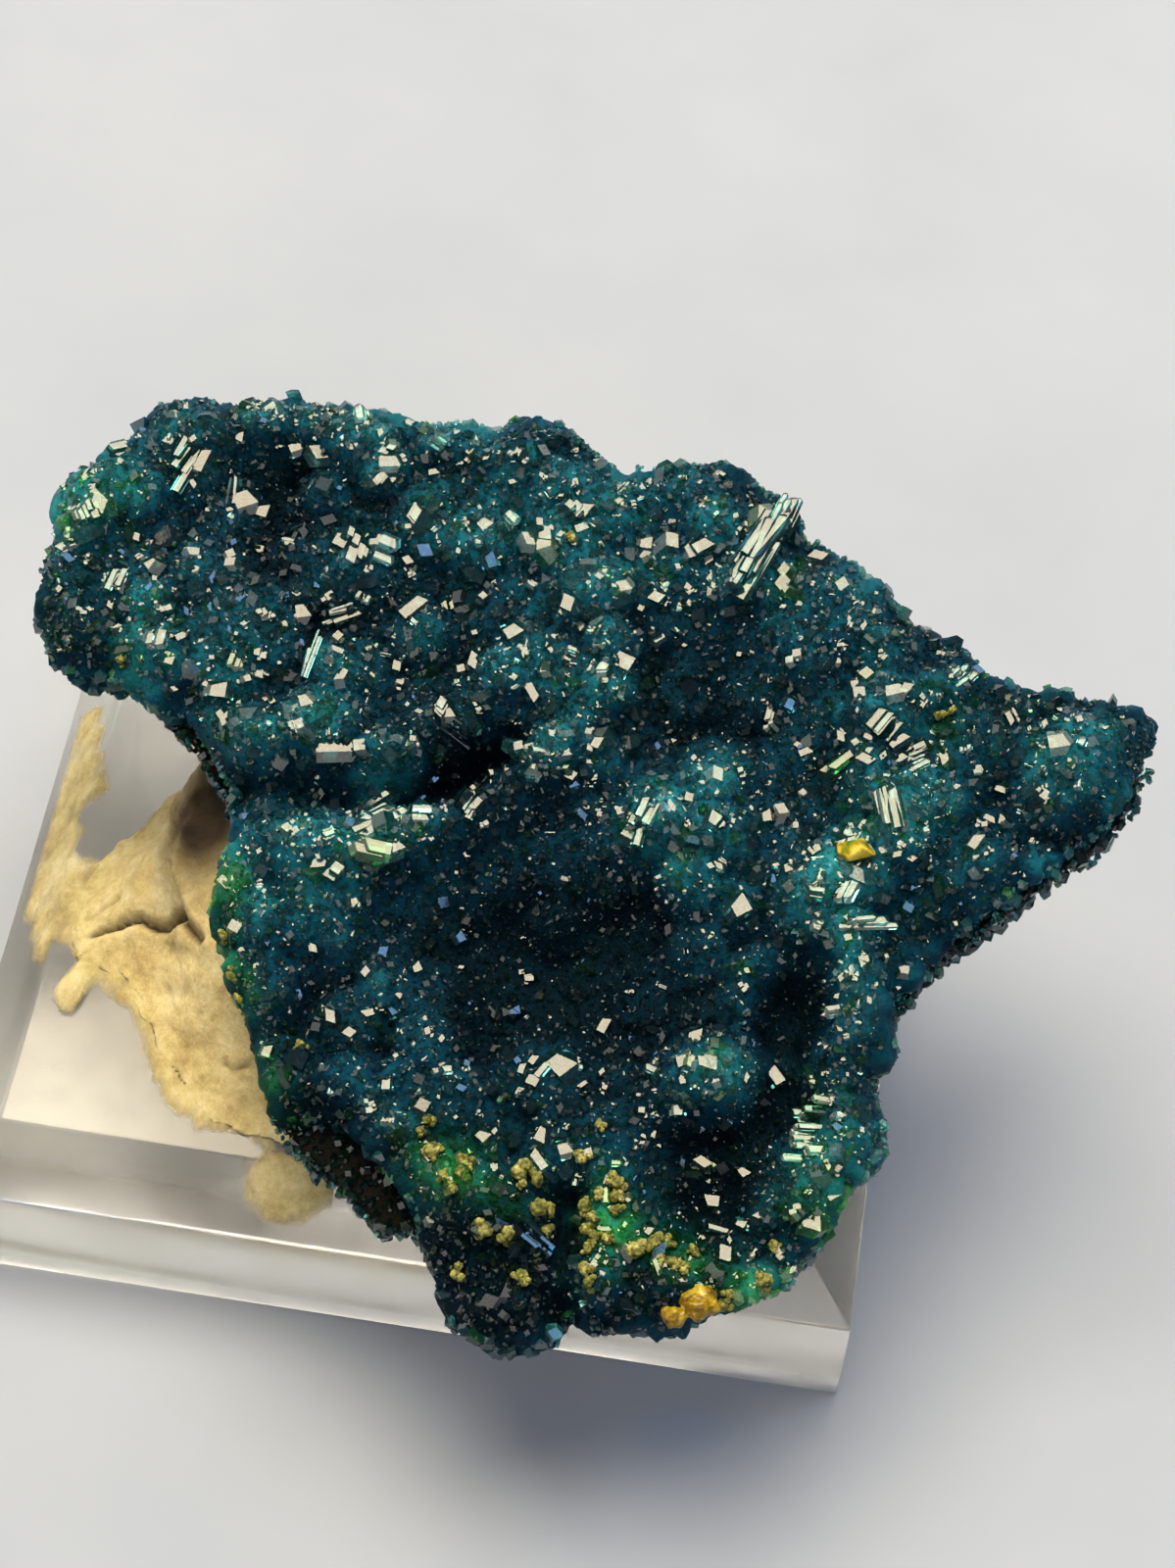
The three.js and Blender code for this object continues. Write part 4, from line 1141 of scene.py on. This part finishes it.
# Bundles: place, heading in degrees, blades, blade radius, length, the bundle's width and the
# lamp that its blades mirror.
BUNDLES = [
    ((7.0, -10.1), 172, 18, 0.11, 1.2, 2.1, KEY_AT), ((6.2, 9.8), 57, 13, 0.15, 2.2, 0.9, KEY_AT),
    ((7.2, 11.2), 62, 7, 0.12, 1.4, 0.7, KEY_AT), ((-7.2, 1.5), 28, 9, 0.14, 1.5, 1.6, KEY_AT),
    ((10.1, 0.4), 98, 6, 0.15, 1.4, 0.6, KEY_AT), ((8.6, -3.4), 2, 3, 0.12, 1.9, 0.3, KEY_AT),
    ((11.3, 2.6), 25, 7, 0.12, 0.9, 0.9, KEY_AT), ((-4.4, 4.2), 150, 6, 0.05, 1.3, 0.6, COOL_AT),
    ((1.9, 0.6), 62, 5, 0.13, 1.2, 0.8, KEY_AT), ((-11.6, 13.6), 78, 6, 0.11, 1.2, 0.7, COOL_AT),
    ((-16.8, 12.6), 110, 6, 0.14, 0.9, 0.9, KEY_AT), ((-13.4, 14.6), 60, 5, 0.20, 1.6, 0.9, KEY_AT),
    ((-2.2, -13.2), 145, 5, 0.08, 1.2, 0.6, COOL_AT), ((-8.3, 8.6), 20, 5, 0.08, 1.0, 0.5, KEY_AT),
    ((10.6, 2.6), 35, 4, 0.16, 0.9, 0.7, KEY_AT), ((-15.9, 10.2), 70, 4, 0.10, 0.9, 0.5, KEY_AT),
    ((12.9, 5.2), 40, 5, 0.10, 0.8, 0.6, KEY_AT), ((-9.2, 7.2), 75, 3, 0.05, 1.6, 0.3, KEY_AT),
    ((-3.9, 1.4), 60, 4, 0.09, 0.8, 0.5, KEY_AT),
]
# Single crystals: place, radius, length and heading, then the ones that mirror the cool lamp.
SINGLES = [
    (-8.2, 3.7, 0.40, 1.7, 2), (-6.7, 0.0, 0.32, 1.5, 25), (4.9, -2.3, 0.46, 1.0, 115),
    (3.3, -6.6, 0.34, 0.7, 80), (3.4, -12.0, 0.28, 0.7, 170), (-3.8, -9.7, 0.30, 0.6, 45),
    (-2.1, -10.6, 0.20, 0.9, 122), (1.3, 6.3, 0.36, 1.0, 150), (-8.0, 11.3, 0.32, 0.8, 60),
    (-11.4, 13.2, 0.36, 1.0, 20), (-10.9, 12.9, 0.32, 0.7, 70), (-2.2, 7.7, 0.28, 0.8, 30),
    (-9.4, 8.8, 0.32, 0.7, 10), (-12.4, 6.2, 0.34, 0.8, 80), (-9.3, 5.4, 0.26, 0.6, 15),
    (-5.6, 8.7, 0.26, 1.2, 40), (-4.4, 4.6, 0.22, 0.5, 5), (-3.3, 2.9, 0.28, 0.6, 175),
    (16.0, 2.5, 0.30, 0.9, 5), (14.0, 1.4, 0.26, 0.6, 65), (0.5, 3.4, 0.22, 0.6, 60),
    (4.2, 0.5, 0.26, 0.6, 140), (6.0, 0.7, 0.24, 0.6, 95), (7.5, 2.9, 0.20, 0.6, 20),
    (2.4, 10.7, 0.24, 0.6, 80), (0.3, 11.1, 0.22, 0.6, 20), (-14.6, 10.8, 0.26, 0.7, 35),
    (-6.2, 13.8, 0.26, 0.9, 0), (-9.5, 14.9, 0.26, 0.8, 20), (7.6, -12.3, 0.22, 0.6, 30),
    (2.6, -9.2, 0.20, 0.6, 90), (0.2, -5.8, 0.20, 0.7, 60), (-6.0, -3.7, 0.22, 0.5, 110),
    (5.8, -7.9, 0.22, 0.8, 120), (-11.0, -6.4, 0.22, 0.6, 70), (11.0, 4.7, 0.24, 0.6, 50),
    (-3.0, 11.4, 0.22, 0.6, 35), (1.6, 8.9, 0.26, 0.8, 10), (-7.0, -7.8, 0.20, 0.6, 85),
    (4.4, 10.4, 0.30, 0.9, 30), (-1.1, -10.3, 0.22, 0.6, 15), (4.7, -11.2, 0.24, 0.5, 30),
    (4.5, -12.9, 0.20, 0.4, 60), (1.7, -14.4, 0.10, 0.8, 107), (3.7, -13.0, 0.11, 0.9, 160),
    (0.1, -11.9, 0.09, 0.6, 90), (-0.9, -11.2, 0.08, 0.6, 85), (3.1, -15.1, 0.14, 0.4, 15),
    (3.3, -15.3, 0.12, 0.4, 120), (-1.1, -7.4, 0.48, 1.1, 40), (-2.1, -7.9, 0.24, 0.6, 60),
    (-2.5, -7.5, 0.16, 0.5, 70), (-2.1, -7.2, 0.18, 0.5, 55), (-1.8, -7.6, 0.12, 0.7, 50),
]
COOL_SINGLES = [
    (-2.9, -5.1, 0.30, 0.5, 95), (-7.2, -3.2, 0.20, 0.9, 70), (-0.4, 2.1, 0.22, 0.5, 20),
    (7.0, 4.7, 0.20, 0.6, 60), (7.8, -10.2, 0.18, 0.4, 30), (-4.6, -2.6, 0.20, 0.5, 120),
    (-3.0, 10.2, 0.24, 0.7, 110), (-6.8, -5.2, 0.22, 0.4, 30),
]


# How far their faces stray from mirroring the lamp, in degrees, and how high they stand.
BLADE_WOBBLE = 4
SINGLE_WOBBLE = 2.5
LEADING_LIFT = 0.20


def pointing(heading):
    """The direction across the plate at this heading in degrees."""
    return np.array([math.cos(math.radians(heading)), math.sin(math.radians(heading)), 0.0])


draw = np.random.default_rng(31)
rows = []
for (u, v), heading, count, radius, length, wide, lamp_at in BUNDLES:
    along = pointing(heading)
    beside = np.array([-along[1], along[0], 0.0])
    for blade in range(count):
        off = ((blade + draw.uniform(0.1, 0.9)) / count - 0.5) * wide
        spot = np.array([u, v, 0.0]) + beside * off + along * draw.uniform(-0.35, 0.35) * length
        size = radius * draw.uniform(0.6, 1.4)
        swung = unit(along + beside * draw.normal(0, 0.05))
        rows.append((spot, swung, size, length * draw.uniform(0.5, 1.1), BLADE_WOBBLE, lamp_at))
for lamp_at, singles in ((KEY_AT, SINGLES), (COOL_AT, COOL_SINGLES)):
    for u, v, radius, length, heading in singles:
        spot = np.array([u, v, 0.0])
        rows.append((spot, pointing(heading), radius, length, SINGLE_WOBBLE, lamp_at))
grown = {key: [] for key in ("spot", "axis", "front", "radius", "length")}
for spot, along, radius, length, wobble, lamp_at in rows:
    front = strayed(toward_lamp(spot[None], lamp_at)[0], wobble, draw)
    axis = unit(along - front * (along @ front))
    height = height_at(bed_top, spot) + LEADING_LIFT - radius * 0.3
    grown["spot"].append(spot + [0, 0, height] - axis * length / 2)
    for key, value in (("axis", axis), ("front", front), ("radius", radius), ("length", length)):
        grown[key].append(value)
grown = {key: np.array(values) for key, values in grown.items()}
u, v, _ = grown["spot"].T
grown["flat"] = draw.uniform(0.6, 0.85, len(u))
# The leading crystals take the painted light and shade of the face as their colour.
grown["tone_and_painted_light"] = painted_light_and_shade(u, v)
grown["green"] = greenness(u, v)
grown["dull"] = 0.5 * draw.random(len(u)) ** 2
crystal_piece("leading_crystals", grown, clear_glass)


# The yellow balls: small olive yellow balls of a second mineral, each a rough bunch of grains,
# grown in strings and clumps over the lower part of the crust. One ball is modelled and copied.
bpy.ops.mesh.primitive_ico_sphere_add(subdivisions=3, radius=1)
ball = bpy.context.object
ball.name = "one_ball"
grain_bumps = bpy.data.textures.new("grain_bumps", "VORONOI")
grain_bumps.noise_scale = 0.55
shape_by(ball, "grains", "DISPLACE", texture=grain_bumps, strength=-0.42, mid_level=0.25)
BALL_POINTS = vertices_of(ball)
BALL_FACES = [list(face.vertices) for face in ball.data.polygons]
bpy.data.objects.remove(ball)
yellow = new_finish("yellow_mineral", {})
dust = noise(yellow, 2400.0, 6.0, 0.7)
tint = ramp(yellow, dust, [
    (0.34, (0.05, 0.07, 0.010)), (0.5, (0.23, 0.23, 0.050)), (0.66, (0.52, 0.49, 0.18)),
])
# Painted shade: the sunken parts between a ball's grains are coloured darker, by the hollow mark.
hollow = ramp(yellow, dust, [(0.3, (0.012, 0.016, 0.004)), (0.7, (0.05, 0.045, 0.010))])
feed(yellow, "Base Color", blend(yellow, marked(yellow, "hollow"), tint, hollow))
feed(yellow, "Roughness", spread(yellow, dust, (0.3, 0.7), (0.85, 0.5)))
bump(yellow, noise(yellow, 6200.0, 5.0, 0.7), 0.00006, 0.9)
# For each clump, the solid that it stands for and its balls: place and size.
BALLS = {
    "yellow_balls_left": [
        (-5.7, -9.1, 0.20), (-5.9, -9.5, 0.15), (-5.5, -10.3, 0.30), (-4.5, -10.6, 0.26),
        (-4.5, -11.1, 0.24), (-4.8, -11.7, 0.20), (-3.8, -13.0, 0.26), (-3.1, -13.1, 0.26),
        (-4.9, -14.2, 0.23), (-9.9, -6.3, 0.20), (-12.5, -2.3, 0.17), (-12.3, -3.6, 0.20),
        (-12.1, -4.4, 0.15), (-15.9, 7.6, 0.17), (-5.1, -11.2, 0.18),
    ],
    "yellow_balls_middle": [
        (-2.5, -10.8, 0.30), (-2.1, -11.3, 0.26), (-2.1, -12.2, 0.30), (-1.9, -12.9, 0.20),
        (-2.7, -14.5, 0.25), (-0.6, -10.7, 0.22), (0.0, -9.6, 0.17), (-0.1, 10.7, 0.17),
        (-2.6, -11.4, 0.16),
    ],
    "yellow_balls_centre": [
        (0.5, -11.5, 0.25), (-0.1, -11.8, 0.20), (0.4, -12.0, 0.21), (0.5, -12.4, 0.17),
        (-0.6, -12.2, 0.24), (-0.3, -12.7, 0.18), (-0.6, -13.0, 0.20), (-0.3, -13.3, 0.21),
        (0.1, -13.4, 0.20), (-0.5, -13.8, 0.18), (-0.6, -14.5, 0.20), (-0.5, -14.9, 0.20),
    ],
    "yellow_balls_right": [
        (1.0, -13.8, 0.30), (1.6, -13.5, 0.26), (2.0, -13.5, 0.21), (1.8, -14.1, 0.21),
        (2.2, -14.2, 0.21), (2.9, -13.8, 0.20), (2.6, -14.4, 0.20), (3.7, -15.6, 0.23),
        (4.0, -15.3, 0.20), (5.2, -14.9, 0.23), (5.5, -13.8, 0.20), (12.1, 3.8, 0.17),
        (12.4, 3.9, 0.13),
    ],
}
# Each ball has buds on it, of about this share of its size and this many of its radii off.
BUDS = 3
BUD_SHARE = 0.6
BUD_REACH = 1.05
BALL_LIFT = 0.10
reach = np.linalg.norm(BALL_POINTS, axis=1)
outer = np.percentile(reach, 70)
painted_hollow_shade = np.clip((outer - reach) / (outer - reach.min()), 0, 1)
ball_draw = np.random.default_rng(41)
for node, clump in BALLS.items():
    u, v, radius = np.array(clump).T
    around = ball_draw.uniform(0, math.tau, (BUDS, len(u)))
    u = np.concatenate([u, *(u + BUD_REACH * radius * np.cos(around))])
    v = np.concatenate([v, *(v + BUD_REACH * radius * np.sin(around))])
    buds = radius * BUD_SHARE * ball_draw.uniform(0.6, 1.4, around.shape)
    radius = np.concatenate([radius, *buds])
    axes = unit(ball_draw.normal(0, 1, (len(u), 3)))
    fronts = any_front(axes, ball_draw)
    squash = ball_draw.uniform(0.85, 1.15, (len(u), 3, 1)) * radius[:, None, None]
    turns = np.stack([fronts, np.cross(axes, fronts), axes], axis=1) * squash
    spots = np.stack([u, v, bed_top(u, v) + 0.7 * radius + BALL_LIFT], axis=1)
    clump_piece = copies_of(BALL_POINTS, BALL_FACES, turns, spots, node + "_piece")
    clump_piece.data.shade_smooth()
    mark_points(clump_piece, "hollow", np.tile(painted_hollow_shade, len(u)))
    clump_piece.data.materials.append(yellow)
    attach(clump_piece, "root")
    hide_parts(node)


# The orange nodule: a few knobbly amber lumps of a third mineral grown together at the lower
# edge, glossy as if wet, with crystals of the druse beside them.
NODULE_AT = (2.8, -15.0)
# Each lump: place and radius.
NODULE_LUMPS = [
    (3.0, -15.85, 0.44), (2.75, -15.6, 0.34), (3.25, -15.5, 0.34), (3.4, -15.85, 0.30),
    (3.05, -15.4, 0.26), (2.2, -16.15, 0.36), (2.45, -16.05, 0.26), (2.0, -16.0, 0.24),
]
nodule_height = height_at(crust_top, NODULE_AT)
for u, v, radius in NODULE_LUMPS:
    bpy.ops.mesh.primitive_uv_sphere_add(
        segments=32, ring_count=16, radius=radius, location=(u, v, nodule_height + 0.35 * radius)
    )
for thing in bpy.context.scene.objects:
    thing.select_set(thing.name.startswith("Sphere"))
bpy.ops.object.join()
nodule = bpy.context.object
nodule.name = "amber_nodule"
bpy.ops.object.transform_apply(location=True, rotation=True, scale=True)
shape_by(nodule, "grown_together", "REMESH", mode="VOXEL", voxel_size=0.05)
shape_by(nodule, "calm", "SMOOTH", iterations=4)
points = vertices_of(nodule)
u, v, w = points.T
points = points + np.stack([
    0.08 * lumps(u + w, v, 0.20, 43), 0.08 * lumps(u, v + w, 0.20, 44),
    0.09 * lumps(u, v, 0.18, 45),
], axis=1)
move_vertices(nodule, to_world(points))
nodule.data.shade_smooth()
finish = new_finish("amber_mineral", {
    "Subsurface Weight": 0.2, "Subsurface Radius": (1.0, 0.5, 0.15), "Subsurface Scale": 0.0004,
})
veins = noise(finish, 1500.0, 6.0, 0.65)
feed(finish, "Base Color", ramp(finish, veins, [
    (0.36, (0.07, 0.035, 0.001)), (0.50, (0.22, 0.140, 0.003)), (0.64, (0.44, 0.34, 0.03)),
]))
feed(finish, "Roughness", spread(finish, veins, (0.3, 0.7), (0.06, 0.22)))
bump(finish, noise(finish, 3600.0, 4.0, 0.6), 0.00004, 0.6)
nodule.data.materials.append(finish)
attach(nodule, "root")
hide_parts("orange_nodule")


# The yellow grain: one angular grain of the yellow mineral, broken to flat faces, lodged
# between the crystals on the right.
GRAIN_AT = (8.9, -1.05)
GRAIN_LIFT = 0.5
GRAIN_SIZE = (1.2, 0.66, 0.6)
GRAIN_TURN = (0.3, -0.2, 0.12)
GRAIN_WEAR = 0.03
# Each broken face: the way it looks and how far it lies from the grain's middle.
GRAIN_CUTS = [
    ((0.8, 0.5, 0.5), 0.36), ((-0.7, 0.2, 0.7), 0.38), ((0.2, -0.8, 0.5), 0.30),
    ((-0.6, -0.7, 0.1), 0.44),
]
middle = Vector((*GRAIN_AT, height_at(bed_top, GRAIN_AT) + GRAIN_LIFT))
bpy.ops.mesh.primitive_cube_add(size=1, location=middle, scale=GRAIN_SIZE, rotation=GRAIN_TURN)
grain_piece = bpy.context.object
grain_piece.name = "angular_grain"
bpy.ops.object.transform_apply(location=True, rotation=True, scale=True)
bpy.ops.object.mode_set(mode="EDIT")
for way, reach in GRAIN_CUTS:
    way = Vector(way).normalized()
    bpy.ops.mesh.select_all(action="SELECT")
    cut_at = middle + way * reach
    bpy.ops.mesh.bisect(plane_co=cut_at, plane_no=way, use_fill=True, clear_outer=True)
bpy.ops.mesh.select_all(action="SELECT")
bpy.ops.mesh.bevel(offset=GRAIN_WEAR, segments=1, affect="EDGES")
bpy.ops.mesh.select_all(action="SELECT")
bpy.ops.mesh.normals_make_consistent(inside=False)
bpy.ops.object.mode_set(mode="OBJECT")
move_vertices(grain_piece, to_world(vertices_of(grain_piece)))
finish = new_finish("yellow_grain", {})
stain = noise(finish, 1500.0, 5.0, 0.6)
feed(finish, "Base Color", ramp(finish, stain, [
    (0.40, (0.10, 0.15, 0.010)), (0.47, (0.22, 0.24, 0.012)),
    (0.53, (0.50, 0.34, 0.004)), (0.62, (0.62, 0.54, 0.10)),
]))
feed(finish, "Roughness", spread(finish, stain, (0.3, 0.7), (0.2, 0.5)))
bump(finish, stain, 0.00005, 0.6)
grain_piece.data.materials.append(finish)
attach(grain_piece, "root")
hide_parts("yellow_grain")
